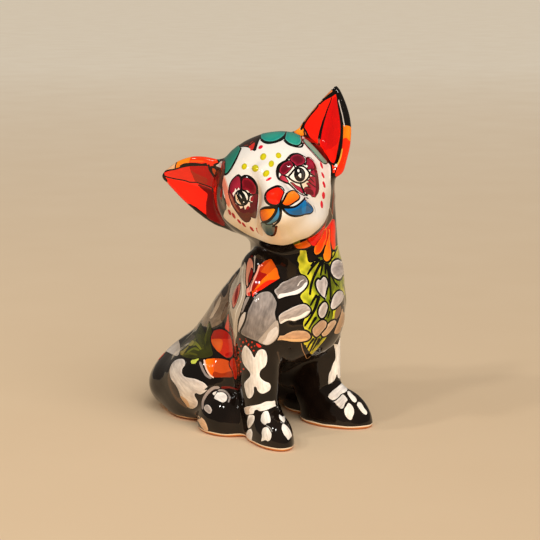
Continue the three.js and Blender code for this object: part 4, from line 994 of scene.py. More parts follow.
# orange fan on the breast
px([(271, 258.4), (274, 262.2), (276.6, 266.8), (277.7, 271), (279.2, 275.5), (280.5, 278.5), (274, 281.7), (268, 285.8), (262, 290.2), (256.2, 293.8), (253, 298), (251.3, 294), (250.6, 289), (251.8, 283.5), (254.8, 278), (257.3, 272), (258.6, 266.5), (262, 262.3), (266, 259.8)],
   srgb(202, 80, 10), edge=0.5, lift=0.25)
px([(259.4, 266.4), (263, 262.8), (267, 260.8), (271, 259.4), (265, 266), (261, 272), (259.4, 276)], srgb(178, 52, 6), edge=0)
px([(259.2, 267.6), (260.6, 272), (267, 274.6), (262, 281), (256.4, 287), (252.6, 292), (251.6, 289), (253, 283), (256, 277), (258.4, 271.6)], srgb(150, 16, 4), edge=0)
px([(276.4, 267.6), (278.6, 275.4), (279.6, 278.2), (275, 279.8), (268, 280), (262, 284), (256, 289.4), (253.4, 292), (261, 281), (270, 272.6)], srgb(254, 110, 6), edge=0)
px([(254.6, 291.4), (262, 284.6), (268, 280.8), (274.6, 280), (278, 279.4), (270, 284), (262, 289.4), (256, 293.2), (253.1, 297), (252, 293.6)], srgb(254, 36, 4), edge=0)
strokes([(0.5, 0.5, [(271, 257.6), (275, 262.2), (278, 269.6), (280.8, 277.6)]), (0.9, 0.7, [(281.6, 279.8), (274.6, 283.6), (268.4, 288.4), (262.4, 290.8), (257.6, 293.8), (253.6, 298)])], fine=True)
strokes([(0.55, 0.5, [(259.2, 265.6), (257.6, 271.4), (254.8, 278.4), (251.8, 285.4), (250.6, 291)])], col=srgb(236, 168, 148), fine=True)

# ---- bones of the chest and shoulder
px([(344, 303), (344.6, 309), (343.6, 318), (341.4, 327.6), (338.6, 333.6), (333.8, 333.4), (336.4, 325.6), (340, 316), (342, 308)], srgb(206, 168, 130), col2=srgb(178, 140, 104), streak=0.08, lift=0.3, edge=0.3, slip=16, face=-0.1)
px([(340.6, 305.6), (341, 311), (337.6, 318), (334.6, 320), (335, 312), (337.6, 307)], srgb(132, 100, 70), edge=0)
bone([(331.9, 262), (334.4, 259.8), (338, 258.8), (340.8, 261), (342.4, 266.5), (343, 272), (342.2, 277), (340.4, 279.6), (337, 279.7), (333.4, 277.1), (330.6, 272.5), (330.1, 268), (330.9, 264.5)], srgb(206, 198, 196), face=-0.1, col2=srgb(166, 156, 154), fade="edge", mottle=0.4, edge=0.6, grain=0.32)
bone([(334.4, 293.4), (338, 290.3), (341, 290.4), (343.2, 293), (343.6, 297.6), (341.8, 302.4), (338.5, 306.2), (335, 309.2), (332, 309.8), (330.1, 307), (330.8, 302), (332.3, 297)], srgb(190, 178, 172), rim=srgb(236, 230, 224), face=-0.1, grain=0.3)
bone([(315.9, 280.4), (318, 278.3), (320, 279.4), (321.5, 277.3), (323.5, 276), (326.1, 277.4), (327.9, 281), (328.2, 285.5), (326.9, 290), (326, 295), (325.1, 299.1), (323, 297.7), (319.9, 294.7), (317.3, 291), (315.6, 287), (315.1, 283.5)],
     srgb(176, 166, 162), rim=srgb(250, 247, 244), band=1.2, grain=0.36, fine=True, edge=0.65)
bone([(322.4, 302.3), (325, 301.3), (327.2, 303.4), (328.2, 307), (327.2, 312), (325.1, 316.6), (322, 319.2), (319.4, 317.7), (317.6, 314), (317.8, 310), (319.4, 306)], srgb(188, 174, 164), rim=srgb(246, 240, 234), band=1.1, grain=0.3, fine=True, edge=0.6)
px(oval(324.4, 301, 1.3, 0.9, 0), LINE, edge=0, fine=True)
# the lowest bones of the chest are painted tan: a painted warm reflection of the floor below
bone([(330.4, 320.9), (334.5, 319.3), (336.7, 321), (335.2, 325.5), (331.1, 331.1), (327, 335.7), (323, 337), (320.8, 334.6), (322.3, 330.5), (325.9, 325.4)], srgb(196, 162, 130), rim=srgb(240, 208, 172), band=1.2)
bone([(317.9, 321.9), (321, 319.6), (324.6, 319.8), (327, 322.5), (326.2, 327), (322.6, 331.6), (318.6, 336.2), (315.4, 337.3), (312.3, 334), (311.6, 330), (313.3, 326.4), (315.9, 323.9)], srgb(182, 146, 116), rim=srgb(224, 196, 164), band=1.2)
bone([(273.4, 290.5), (277, 286.8), (281, 282.3), (287, 279.8), (293, 276.8), (300, 274.8), (304.6, 275.8), (307.7, 279.5), (308.2, 283.5), (306.1, 288.2), (301.6, 292.7), (297, 295.2), (291, 296.2), (284, 297.8), (278, 299.8), (276.3, 296)],
     srgb(128, 119, 114), rim=srgb(222, 216, 212), band=1.0, streak=0.10, wash=0.10, grain=0.4, edge=0.5)
px([(278.6, 298.6), (284, 296.8), (291, 295.2), (297, 294), (302, 291), (305.6, 287), (307.6, 282.6), (305, 283), (301, 287.6), (295, 291), (286, 293.4), (279, 294.4)], srgb(240, 236, 232), edge=0, streak=0.04)
px([(298, 276), (303, 276.2), (306.4, 279.4), (304, 282.6), (300, 281.4), (298.6, 284.4), (296, 283)], srgb(122, 113, 108), edge=0, wash=0.1)
strokes([(0.35, 0.2, [(297.6, 286), (300.6, 281.6), (303.6, 280)])], col=srgb(214, 208, 202), fine=True)
bone([(277.9, 316), (281.4, 312.3), (287, 309.3), (293, 306.3), (300, 303.8), (305.1, 303.6), (309.2, 306.4), (311.3, 310.5), (308.7, 315.2), (304.1, 318.3), (298, 320.7), (294, 322), (289, 321.2), (284, 323.2), (280, 325.3), (278.3, 320.5)],
     srgb(172, 158, 148), rim=srgb(232, 226, 220), band=1.0, streak=0.09, grain=0.36, edge=0.5)
px([(280.6, 324), (284, 322), (289, 320), (294, 320.8), (298, 319.4), (304, 316.8), (308, 313.4), (310.4, 310.4), (306, 311.6), (299, 316), (290, 318), (282, 320.4)], srgb(242, 234, 222), edge=0, streak=0.04)
# the lowest bone is painted tan, with a paler tan band along its foot: a painted warm reflection of the floor
bone([(276, 341.2), (279.5, 334.8), (283, 334.8), (288, 332), (294, 330), (302, 329.7), (307.6, 331.1), (310.7, 334.5), (311.2, 337.5), (308.1, 340.7), (303, 342), (293, 342.3), (285, 341), (279, 340.9)], srgb(190, 150, 116), rim=srgb(226, 190, 150), band=1.1, streak=0.09, edge=0.55)
px([(279, 339.6), (285, 338.4), (293, 338.8), (302, 338.8), (308, 338), (304, 341.2), (293, 341.6), (285, 340.4)], srgb(242, 202, 152), edge=0)
bone([(258, 293.3), (262, 291.3), (268, 290.5), (272.1, 292.4), (275.2, 297), (277.5, 302), (277.2, 307), (275.9, 312), (276.7, 318), (278.7, 324), (279.2, 330.5), (278.2, 336.1), (275.1, 340.6), (271, 344.2), (266.5, 345.6), (260, 343.3), (252, 340.2), (245, 337.2),
      (240.8, 334.2), (240.2, 331), (243.3, 325), (245.8, 318), (246.8, 312), (249.8, 305), (253.8, 297.5)], srgb(112, 105, 103), rim=srgb(162, 154, 150), col2=srgb(152, 144, 140), fade="right", mottle=0.35, grain=0.34, band=1.4, streak=0.05, wash=0.10, lift=0.5, slope=3, edge=0.6)

px([(258, 341), (263, 334.6), (268.6, 328), (274, 322), (277.4, 320.6), (278.8, 326), (278.8, 332), (277.6, 337), (274, 341.6), (268, 345), (263, 344.2)], srgb(178, 167, 158), edge=0, wash=0.1, grain=0.24)
px([(268, 333), (272, 329), (276.4, 326.4), (278.2, 330.4), (277.4, 335.8), (274.4, 340), (270.4, 343.4), (266.6, 344.4), (262, 343), (266, 338.6)], srgb(216, 211, 208), edge=0, wash=0.06, grain=0.14)

strokes([(0.8, 0.6, [(254.4, 296.4), (258.4, 292.6), (263.4, 290.4), (269.6, 290.2), (272.6, 291.8)])], fine=True)

# ---- face: crown pieces
px([(238.6, 146.6), (241, 136), (248, 128), (256, 123), (264, 121), (263, 131.5), (260.6, 137), (258, 141), (256.2, 145.6), (254.6, 150.2), (251.4, 148.6), (247.6, 146.8), (243, 146.6)], srgb(46, 26, 20), edge=0.4, slip=60, face=-0.2)
px([(248.6, 147.2), (250.6, 145), (254.6, 142.4), (254, 146.4), (252.4, 149.4)], srgb(206, 44, 34), edge=0, fine=True)
strokes([(0.5, 0.3, [(250.4, 143.2), (252.8, 141.2)]), (0.4, 0.3, [(244.6, 145.6), (248, 145)])], col=srgb(150, 44, 34), fine=True)
px(oval(251, 149.8, 1.1, 0.8, 10), srgb(220, 40, 50), edge=0, fine=True)
strokes([(0.9, 0.8, [(261, 135.6), (258.4, 139.6), (256.4, 144.8), (254.8, 150.2)])], fine=True)
px([(260.6, 138.2), (260.4, 133), (261, 124), (270, 120), (280, 119), (287, 121), (286.8, 131), (284.4, 135.5), (281, 138.2), (277, 140.5), (272, 141.8), (267, 141.8), (263, 140.5)], TEAL, col2=srgb(40, 158, 138), fade="edge", mottle=0.15, rim=srgb(96, 190, 172), band=0.7, lift=0.3, edge=0.45, slip=60, face=-0.2)
strokes([(0.8, 0.75, [(261.4, 139.6), (264, 142), (267.6, 143.2), (272, 142.9), (278, 141.3), (282.4, 139), (285.2, 135.2), (287, 132.6)])], fine=True)
px([(284.9, 139.5), (284.8, 137), (285.8, 133), (287.4, 128), (291, 125.5), (296, 127), (299.6, 132), (301.8, 138.6), (302, 141), (301.2, 143.2), (299, 145.3), (296, 145.5), (292, 144.5), (288, 142.5)], TEAL, col2=srgb(40, 158, 138), fade="edge", mottle=0.15, rim=srgb(110, 200, 180), band=0.7, lift=0.3, edge=0.45, slip=60, face=-0.2)
strokes([(0.7, 0.6, [(284.4, 140.4), (288, 143.9), (293, 146), (298, 147), (301.8, 146.4), (303.2, 143)]), (0.4, 0.4, [(303.2, 143), (302.4, 139), (300, 134.4), (296.6, 131.6), (292.4, 130.6)])], fine=True)
px([(292.6, 131), (295, 124), (301, 121), (305, 126), (304, 131.6), (304.6, 135), (302.3, 136), (299, 135.2), (296, 133.9), (293, 132.9)], srgb(248, 128, 16), col2=AMBER, edge=0.4, slip=60, face=-0.2)
px([(303, 140), (305, 138.6), (309, 141.2), (313, 145.3), (318, 150.8), (323.2, 156.8), (326.8, 161), (327.2, 163.2), (324.8, 163.8), (322, 162), (317, 156.5), (311, 149.7), (306, 144.6)], srgb(104, 152, 134), col2=srgb(130, 160, 142), fade="edge", streak=0.05, edge=0.3, lift=0.2, fine=True)
strokes([(0.45, 0.35, [(303.4, 142), (308, 147.6), (315, 155.6), (321.6, 162.8)])], col=srgb(112, 20, 34), fine=True)
px([(239.6, 146), (240.4, 149.8), (237.4, 155.5), (234.4, 161.5), (230.9, 168), (227.2, 172.9), (224, 173.8), (219.6, 169), (219, 160), (221, 151), (226, 144), (233, 140)], srgb(20, 100, 86), col2=srgb(34, 132, 114), fade="right", mottle=0.2, rim=srgb(60, 150, 130), band=0.7, lift=0.3, edge=0.4, slip=60, face=-0.2)
strokes([(0.6, 0.6, [(241, 148.6), (238.6, 154), (235.2, 161.6), (231.6, 168.2), (228.2, 172.8), (225.4, 174.6), (222.6, 174.9)])], fine=True)
# red dashes and green dots
DASHES = [(258.6, 148.4, 262.6, 145.8, 1.6), (266.2, 180.6, 271.4, 177.6, 1.25), (320.4, 162, 322.6, 168.6, 1.1), (321.6, 172.2, 324.1, 178.2, 1.1), (323, 181.4, 325, 187.8, 1.25), (323.4, 192, 323.6, 199, 1.6),
          (321.4, 200.8, 322.2, 208.2, 1.4), (228.4, 209.6, 230.6, 215, 1.35), (232, 212.8, 235.2, 218.4, 1.25), (237.4, 219.2, 241, 223.6, 1.05), (242, 222.4, 245.6, 227, 1.05), (249.8, 226.6, 253.8, 231.2, 1.15), (256.2, 227.8, 259.4, 233.6, 1.15)]
for x0, y0, x1, y1, w in DASHES:
    px(oval((x0 + x1) / 2, (y0 + y1) / 2, w, math.hypot(x1 - x0, y1 - y0) / 2 + 0.2, math.atan2(x0 - x1, y1 - y0) / DEG, 10), srgb(214, 14, 48) if x0 > 257 else srgb(176, 16, 30), edge=0, lift=0.25, fine=True, slope=0.8)
for u, v, rx, ry, t in ((263.2, 156.7, 3.0, 3.7, 30), (278.5, 155.5, 3.0, 2.8, 60), (271.3, 163.8, 2.7, 3.4, 15), (255.3, 168.3, 3.4, 3.7, 10), (244.3, 166.5, 2.6, 3.3, 30), (266.2, 173.5, 2.9, 3.8, 40)):
    px(oval(u, v, rx, ry, t, 14), srgb(186, 178, 8), col2=srgb(206, 198, 20), edge=0, lift=1.1, slope=1.9, fine=True)
# eye on the picture's right
FLOWER_R = [(305.5, 157.3), (302, 155.3), (299, 153.9), (296, 153.7), (292, 154.7), (289, 157.4), (286.5, 160.6), (283, 162.6), (279.5, 165.3), (278, 168.5), (277.2, 172), (277.3, 176), (278.8, 179.2), (282.5, 181.2), (286, 183), (288.5, 183.6),
            (292, 186.6), (296, 190.4), (300, 193.6), (304, 195.6), (307, 195.4), (311, 195.2), (314, 197.8), (317, 195.4), (319, 191), (319.8, 186), (319, 178), (318, 172), (317, 165.6), (314.5, 161.2), (311, 158.1), (308.5, 157)]
# (the eyes lie over that shade)
px(FLOWER_R, srgb(244, 238, 232), edge=0, lift=0.25, fine=True)
MR, ML, MD = srgb(134, 16, 42), srgb(176, 36, 66), srgb(96, 10, 30)
px([(279, 170), (279.8, 167.5), (282.8, 163.6), (286.4, 161.7), (289, 160.6), (291.2, 161.3), (293.2, 163.3), (293.4, 165.5), (291.2, 169), (288.2, 172.2), (285.6, 174.3), (283.4, 175.4), (280.9, 173.8), (279.2, 172.2)], MR, col2=MD, fade="edge", mottle=0.15, rim=ML, band=0.7, edge=0.3, fine=True)
px([(289.8, 158.5), (292.4, 155.7), (296, 154.4), (299.5, 154.6), (302.6, 156.4), (304.9, 159.5), (304.5, 163), (301.7, 165.2), (299, 165.6), (297.3, 166.4), (295.3, 165.2), (293.3, 163), (291, 161.4)], MR, col2=MD, fade="edge", mottle=0.2, rim=ML, band=0.8, edge=0.25, fine=True)
px([(306.2, 158.8), (309, 158.1), (312.1, 160.4), (314.8, 164), (316.3, 168), (317.3, 173), (318.3, 178), (318.9, 184), (319.2, 189), (318.1, 193.3), (315, 197.4), (312, 197), (310.4, 194.8), (306, 193.8), (304, 191.5), (303.4, 189), (305, 186.8), (309.4, 186.4), (306.8, 184.4), (306.2, 182.8),
    (309.4, 182), (306.8, 180.2), (310, 178.8), (308.4, 176.6), (312.6, 176.4), (311.4, 173.6), (309.6, 172), (312.2, 168.6), (309, 169.8), (306.3, 168.6), (308.2, 166), (305.8, 164.6), (303.2, 165.4), (306.2, 162)],
   MR, col2=ML, fade="edge", mottle=0.5, edge=0.15, fine=True, smooth=False)
px([(313.4, 163), (316, 168), (317.2, 175), (318.2, 183), (318.6, 189), (317, 194), (314.6, 196), (315.6, 188), (315, 178), (314, 170)], MD, edge=0, fine=True)
px([(305, 190.4), (306.8, 188.4), (310, 188.8), (313, 191), (313, 195), (309, 193.8), (306, 193)], MD, edge=0, fine=True)
px([(290.2, 182.2), (293, 182.6), (296, 185.2), (299.5, 186.7), (301.8, 189), (303.2, 193.6), (301, 193), (298, 190.6), (295.3, 188), (292.3, 184.6)], MR, col2=ML, fade="edge", mottle=0.5, edge=0.15, fine=True)
px([(279.8, 177), (282, 175.2), (285, 176.4), (286.7, 179), (288.3, 181.2), (287.6, 183), (284, 182), (281, 180.4), (279.8, 178.8)], srgb(140, 14, 40), col2=srgb(214, 70, 92), fade="right", mottle=0.2, edge=0.2, fine=True)
ALMOND = [(288.6, 177), (291.4, 173.4), (294.2, 170), (297, 167.4), (301, 166.1), (304.6, 167.4), (307.6, 170.5), (309.4, 173.5), (308.4, 177), (306, 180.2), (303, 182.3), (299.5, 183), (296, 182.2), (292, 180.2)]
px(ALMOND, srgb(246, 244, 240), edge=0.5, fine=True)
px(oval(299.7, 174.6, 5.7, 7.1, -6, 18), srgb(16, 15, 16), edge=0, fine=True)
px([(300.5, 169.4), (303, 170.6), (304.2, 174), (303.8, 178.4), (302.6, 180), (302.4, 175.4), (301.6, 172)], srgb(58, 58, 60), edge=0, fine=True)
# a painted highlight: a lamp's glint on the pupil
px(oval(298.4, 170.7, 1.15, 1.5, -10, 9), srgb(238, 238, 240), edge=0, fine=True)
px([(297.8, 175.4), (300, 173), (301.2, 173.6), (301.3, 178), (300, 177.8), (299.2, 176.4)], srgb(240, 240, 240), edge=0, fine=True, smooth=False)
strokes([(0.45, 0.4, [(288.8, 177.4), (285, 175.8), (281, 174.4)]), (0.45, 0.35, [(308.6, 173.2), (311, 174.4), (315, 176.6)]), (0.5, 0.6, [(300.4, 182.6), (301.1, 185.5), (302.5, 189), (303.6, 192.5), (305, 194.6), (307.4, 195.2)]),
         (0.5, 0.4, [(292.4, 162.4), (294, 165), (295, 167.8)]), (0.35, 0.3, [(305.8, 158), (306.2, 162), (305.4, 165.6)]), (0.3, 0.25, [(308.6, 181.6), (312, 184.6), (316, 187.6)]), (0.3, 0.2, [(310.4, 178.6), (314, 182.4)]),
         (0.3, 0.2, [(311.4, 171), (314.2, 168.4)]), (0.3, 0.2, [(307, 186.4), (311, 188)]),
         (0.5, 0.85, [(305.5, 157.2), (302, 155.1), (299, 153.7), (296, 153.5), (292, 154.5), (289, 157.2), (286.4, 160.6)]), (0.7, 1.0, [(286.6, 160.6), (283, 162.4), (279.4, 165.1), (277.9, 168.5), (277.4, 172.4)]),
         (1.0, 0.6, [(277.4, 172), (277.6, 176), (279, 179.3), (282.5, 181.3), (286, 183)]), (0.5, 0.45, [(286, 183), (288.6, 183.6), (292, 186.6), (296, 190.4), (300, 193.6), (304.4, 195.6)]),
         (0.5, 0.4, [(306.2, 158.2), (308.5, 157.2), (311, 158.2), (314, 161)])], fine=True)
# painted reflection of the red ear, in pale pink and salmon, on the face's left edge
px([(221.6, 176.4), (224.4, 175.4), (226.6, 181), (229, 189), (230.6, 197), (231.4, 204), (229, 208), (226.4, 203), (224.6, 195), (222.6, 186)], srgb(240, 190, 172), edge=0, slip=30, face=-0.1, fine=True)
px([(221.6, 178), (224, 177.6), (226, 183), (228.2, 191), (229.4, 198), (229.8, 204), (228, 206.6), (225.8, 201), (224, 193), (222.4, 186)], srgb(226, 132, 108), edge=0, slip=30, face=-0.1, fine=True)
# eye on the picture's left
FLOWER_L = [(228.3, 192), (229.3, 186), (231.3, 181), (235, 177), (238.3, 174.9), (241.2, 177.6), (243.5, 176.4), (246.5, 176.1), (250, 177.3), (253.7, 180.3), (256.5, 184.5), (257.7, 189), (258.2, 194), (258, 200), (257.2, 206), (256.8, 213), (255.7, 217.8),
            (253.5, 218), (251, 216.9), (250.6, 219.4), (248.6, 221.8), (245.2, 222), (241.6, 219), (238, 214.4), (234.4, 209.2), (231.4, 203.8), (229.2, 197.4)]
px(FLOWER_L, srgb(98, 10, 28), col2=srgb(84, 8, 22), fade="edge", mottle=0.3, edge=0.2, lift=0.25, fine=True)
# painted shade: the flower's lower part deepened to brown
px([(237, 210), (240.4, 211.4), (244, 213.4), (248, 212), (252, 213.4), (256.2, 211), (256.2, 215), (254.4, 217.4), (251, 216.4), (250.2, 219.2), (247.6, 221.4), (244.6, 221), (241.4, 218), (238.4, 213.6)], srgb(92, 44, 30), edge=0, wash=0.1, fine=True)
px([(230.2, 191), (229.9, 186), (231.2, 182.2), (233.7, 178.8), (237, 176.3), (239.5, 177.2), (240.5, 180), (240.7, 185), (240.4, 190.4), (238.2, 187.6), (237.4, 190.6), (235.8, 188.4), (234.6, 192.4), (232.8, 195.6)], srgb(116, 12, 36), col2=srgb(158, 34, 56), fade="right", mottle=0.4, edge=0.15, fine=True)
px([(242.1, 189.6), (241.9, 184), (242.4, 180.2), (244.5, 178.1), (248, 178.1), (252, 180.3), (255.2, 184.5), (256.6, 189), (255.8, 193.4), (253, 194.4), (249.8, 193), (247.4, 190.4), (244.5, 190)], srgb(124, 14, 34), col2=srgb(104, 8, 22), fade="edge", rim=srgb(164, 26, 44), band=0.7, mottle=0.2, edge=0.2, fine=True)
px([(229.4, 192.6), (231.8, 196), (233.8, 201.4), (236.4, 206.6), (240, 212), (237.6, 211), (233.8, 205.6), (230.8, 199.4)], srgb(146, 84, 66), edge=0, wash=0.2, fine=True)
px([(234.6, 191.4), (235.6, 188.2), (237, 191), (238.4, 187.4), (240.8, 190.4), (244.5, 190.4), (247.6, 190.4), (250.4, 193.2), (253, 195.2), (250.4, 198), (252.8, 201.6), (249.6, 203.4), (250.2, 207), (247.2, 206.2), (245.4, 209.8), (243.6, 206.6), (240.8, 208.6),
    (239.2, 205.8), (236, 203.8), (234.4, 200), (233.8, 196), (232.6, 193.4)], srgb(242, 228, 220), edge=0, smooth=False, fine=True)
px([(250.6, 198.4), (253.8, 195.8), (253, 200.6), (250.8, 201)], srgb(140, 10, 34), edge=0, fine=True)
px([(246.6, 207), (248.4, 205.6), (249.6, 207.6), (247.6, 209.4), (246, 209)], srgb(150, 10, 34), edge=0, fine=True)
px(oval(241.8, 197.7, 7.0, 7.5, 0, 18), srgb(242, 240, 234), edge=0.55, fine=True)
px([(235.6, 195), (237.4, 193.6), (239.6, 199), (242.4, 204.4), (239, 203), (236.2, 199.4)], srgb(220, 188, 152), edge=0, fine=True)
px([(238, 192.4), (241.4, 190.8), (244.6, 194.2), (246.8, 199.2), (248, 202.4), (244.4, 204.4), (241.6, 202), (239, 197.6)], srgb(10, 9, 9), edge=0, fine=True)
px([(239.4, 193.8), (240.4, 194.6), (242.4, 198.4), (241.6, 198.6), (240, 196.2)], srgb(216, 208, 200), edge=0, fine=True, smooth=False)
# a painted highlight: a small glint on the pupil
px([(243.4, 201.2), (244.8, 201.8), (244, 203), (243.2, 202.4)], srgb(238, 230, 220), edge=0, fine=True, smooth=False)
strokes([(0.45, 0.45, [(236.6, 192.4), (238, 197), (240.2, 201.2), (242.8, 204.8)]), (0.8, 0.3, [(248.8, 193.4), (250.8, 195), (253.4, 194.6)]), (0.45, 0.3, [(248.6, 198.6), (250, 195.6)]), (0.45, 0.4, [(248.4, 200.8), (252.2, 203)]),
         (0.5, 0.45, [(241.2, 178), (241.6, 184), (242, 190.2)]), (0.4, 0.3, [(243, 205.4), (244.4, 209)]),
         (0.4, 0.5, [(228.6, 191), (229.3, 186), (231.3, 181), (235, 177), (238.3, 174.9), (240.6, 176.6), (241.4, 178)]), (0.75, 0.75, [(241.4, 178), (243.5, 176.3), (246.5, 176), (250, 177.2), (253.7, 180.3), (256.4, 184.5), (257.5, 189), (257.6, 193.6)])], fine=True)
px(oval(237.6, 199.7, 0.7, 0.8), LINE, edge=0, fine=True)
# painted shade: two soft bands along the crease at the muzzle's left side
for p, c in (([(256.6, 176), (259.4, 184), (261.4, 194), (261.8, 204), (260.4, 214), (260.8, 224), (263, 236), (258, 232), (256.8, 222), (258, 210), (258.8, 198), (258, 186)], srgb(228, 210, 192)), ([(258.6, 188), (260.4, 196), (260.6, 206), (259.6, 214), (259.2, 224), (258, 216), (258.8, 206), (259.2, 196)], srgb(206, 180, 158))):
    px(p, c, edge=0, face=0.1)
# muzzle: a butterfly of petals for the nose and mouth
px([(261.4, 223), (265, 222), (270, 223.4), (274, 225.4), (275.8, 229), (275, 232.8), (272.6, 235.2), (268.5, 235.3), (265.3, 232.8), (262.7, 229), (261.3, 226)], srgb(56, 100, 134), col2=srgb(112, 138, 138), fade="up", mottle=0.2, edge=0.4, lift=0.3, fine=True)
strokes([(0.6, 0.6, [(276.6, 226), (275.8, 231), (274.2, 234.8), (270.6, 236)])], col=srgb(54, 32, 24), fine=True)
px([(278.2, 206.2), (279.9, 209), (280.2, 212.5), (279.5, 216), (278.2, 219.2), (276, 221.3), (273.4, 223), (270, 224.6), (266, 224), (267, 222), (269.7, 220.6), (272.7, 218), (275.1, 215), (276.5, 212), (277.1, 208)], srgb(8, 136, 208), col2=srgb(86, 126, 138), fade="along", mottle=0.1, edge=0.3, lift=0.3, fine=True)
px([(260.2, 210.3), (262, 209), (266, 208.1), (270, 208.1), (273.5, 207.8), (275.5, 208.5), (275.6, 210.5), (274.2, 213.6), (271.7, 217.2), (268.6, 220), (265.5, 221.3), (262.4, 221.6), (260.8, 218.6), (260.1, 214.5)], srgb(206, 80, 8), col2=srgb(255, 146, 6), fade="right", mottle=0.15, lift=0.3, fine=True, edge=0.5)
px([(283.2, 207.8), (288, 208.1), (294, 207.4), (298, 205.3), (302, 201.8), (304.8, 199.4), (308.2, 202.8), (311.2, 205.8), (313.3, 209.5), (312.3, 212), (310.1, 213.7), (306, 214.2), (301, 215.4), (295, 215.9), (290, 214.8), (286, 212)], srgb(4, 110, 188), col2=srgb(30, 92, 140), fade="edge", mottle=0.3, lift=0.3, fine=True, edge=0.4)
px([(302.4, 203.4), (304.6, 201), (306, 203.4), (305.6, 209), (304.8, 213), (302, 213.2), (301.4, 209)], srgb(12, 122, 192), edge=0, fine=True)
px([(265.9, 196.5), (266.5, 193.3), (268.7, 190.6), (272.9, 188.4), (277.1, 187.1), (280.3, 187.7), (282.6, 189.9), (284, 192.3), (282.6, 196), (281.1, 200.3), (278.8, 203.9), (275.5, 205), (271.3, 204.5), (268.2, 202.4), (266.2, 199.2)], srgb(238, 20, 4), col2=srgb(250, 36, 6), fade="edge", lift=0.7, slope=4, fine=True, edge=0.3)
strokes([(0.45, 0.75, [(284.4, 190.4), (283, 188), (281, 186.5), (278, 185.9), (275, 186.6)]), (0.75, 0.8, [(275.2, 186.6), (271, 188.6), (267.3, 191.2), (265, 194.8), (264.7, 198.4), (266.2, 201.6), (269, 204)]),
         (0.8, 0.55, [(269, 204), (271.5, 205.1), (274.4, 205.5), (278.4, 205.6)])], fine=True)
px([(287.8, 192.6), (291, 190.8), (293.5, 190.3), (296.1, 191.8), (298.7, 194.4), (299.8, 197), (298.7, 199.5), (295.1, 202), (290.5, 205), (287, 206.1), (283.9, 205.5), (281.8, 203.8), (283.8, 200), (285.9, 196)], srgb(252, 92, 2), col2=srgb(252, 150, 30), fade="up", mottle=0.15, lift=0.4, fine=True, edge=0.45)
strokes([(0.3, 0.6, [(284.4, 192), (282.4, 196.6), (280.6, 201.4), (279.8, 205.4)]), (0.35, 0.5, [(286.6, 193), (284, 198.4), (281.6, 203)]), (0.5, 0.5, [(281.8, 206.2), (287, 207.1), (292, 207.1), (296, 206), (300, 203.2), (303, 200.4), (305.2, 197.6)]),
         (0.5, 0.65, [(281.2, 206.8), (283.6, 210.2), (287, 213.4), (291, 215.4), (296, 216.2)]), (0.65, 0.25, [(296, 216.2), (301, 215.6), (305, 214.5), (308.4, 213.8)]), (0.85, 0.6, [(280.2, 205), (280.6, 210), (280.7, 214), (280, 218), (278.4, 221.4), (275.6, 224), (273, 226.4)]),
         (0.4, 0.6, [(260, 210.2), (262.4, 208.1), (266, 207), (270, 206.9), (274, 207.2), (277.4, 207.4)]), (0.7, 0.55, [(277, 207.4), (276, 212), (273.4, 216.2), (270.2, 219.9), (267, 222), (263.4, 222.6)]), (0.45, 0.3, [(306.4, 197.6), (308.4, 198.6)])], fine=True)
# painted shadow: a grey line in the crease of the cheek beside the mouth
strokes([(0.3, 0.25, [(313.6, 205.6), (315, 209), (315.2, 212.4)])], col=srgb(160, 158, 156), fine=True)
px(oval(280.2, 205.4, 1.5, 1.4, 0, 10), LINE, edge=0, fine=True)
# a few thin lines where the glaze broke from black at the face's edge
strokes([(0.35, 0.3, [(325.4, 157.4), (331, 163), (336.4, 167.2), (335.2, 172.4), (334, 178), (333.4, 186)])], fine=True)

# ---- ears: the red hollows
RED_EAR = [(335.7, 93.2), (332, 95.7), (327, 98.3), (323, 100.8), (319, 104.8), (315, 109.8), (311, 114.3), (308, 118.3), (306, 121.3), (303.6, 126), (304, 128.4), (306, 131.4), (308.5, 136.8), (312, 141.4), (316, 146.4), (318.6, 149), (321, 151.6), (325, 156), (329, 161), (332, 163.6), (334.2, 163.6),
           (336.2, 160), (337.6, 153), (339.2, 145), (340.6, 137), (341.1, 128), (340.3, 118), (339.1, 108), (337.8, 100), (336.8, 95)]
px(RED_EAR, srgb(250, 32, 6), col2=srgb(240, 22, 6), fade="along", mottle=0.15, edge=0.5, depth=60, fine=True)
# painted shade: the hollow's facet right of the crease in a deeper red
px([(334.6, 96.4), (331.6, 101), (328, 110), (325, 118.6), (322.8, 127), (321, 136), (321.6, 145), (325, 150), (332, 148), (338, 142), (340, 132), (339.6, 120), (338.2, 108), (336.8, 99)], srgb(212, 6, 6), col2=srgb(226, 12, 6), fade="right", mottle=0.2, edge=0, depth=60)
strokes([(0.25, 0.45, [(331.8, 97.4), (330, 103), (327.5, 109.2), (325.2, 116)]), (0.5, 0.95, [(325.2, 116), (322.9, 123), (320.8, 131), (319.2, 139)])], depth=60, fine=True)
strokes([(0.5, 0.5, [(319, 139), (319, 144)])], col=srgb(120, 84, 70), depth=60, fine=True)
strokes([(0.7, 0.9, [(319, 143.6), (319.4, 147.4), (320.4, 150.8)])], col=srgb(60, 20, 10), depth=60, fine=True)
strokes([(0.55, 0.7, [(336.6, 91.4), (333.4, 92.4), (329.4, 95), (325, 98.4), (321, 102.4), (317, 107), (313, 111.6), (309, 116), (306, 119.8), (303, 125), (301, 129.4)])], depth=60, fine=True)
strokes([(0.9, 1.1, [(337.5, 92.6), (338.2, 100), (339.4, 108), (340.9, 118), (341.9, 128), (341.6, 138), (340.8, 147)]), (1.1, 0.9, [(340.8, 147), (339, 155), (337.2, 161), (335.4, 165)])], depth=60, fine=True)
strokes([(0.3, 0.4, [(338.6, 100), (340.6, 108), (342.6, 116), (343.7, 122), (344.6, 126)])], col=srgb(214, 210, 206), depth=60, fine=True)
strokes([(0.6, 0.5, [(336.4, 166.4), (338.4, 163), (340.6, 157.6), (342.2, 149)])], col=srgb(240, 176, 60), depth=60, fine=True)
px([(334.9, 164.6), (337, 164), (337.6, 166.2), (336, 167.4)], srgb(236, 230, 224), edge=0, depth=60, fine=True)
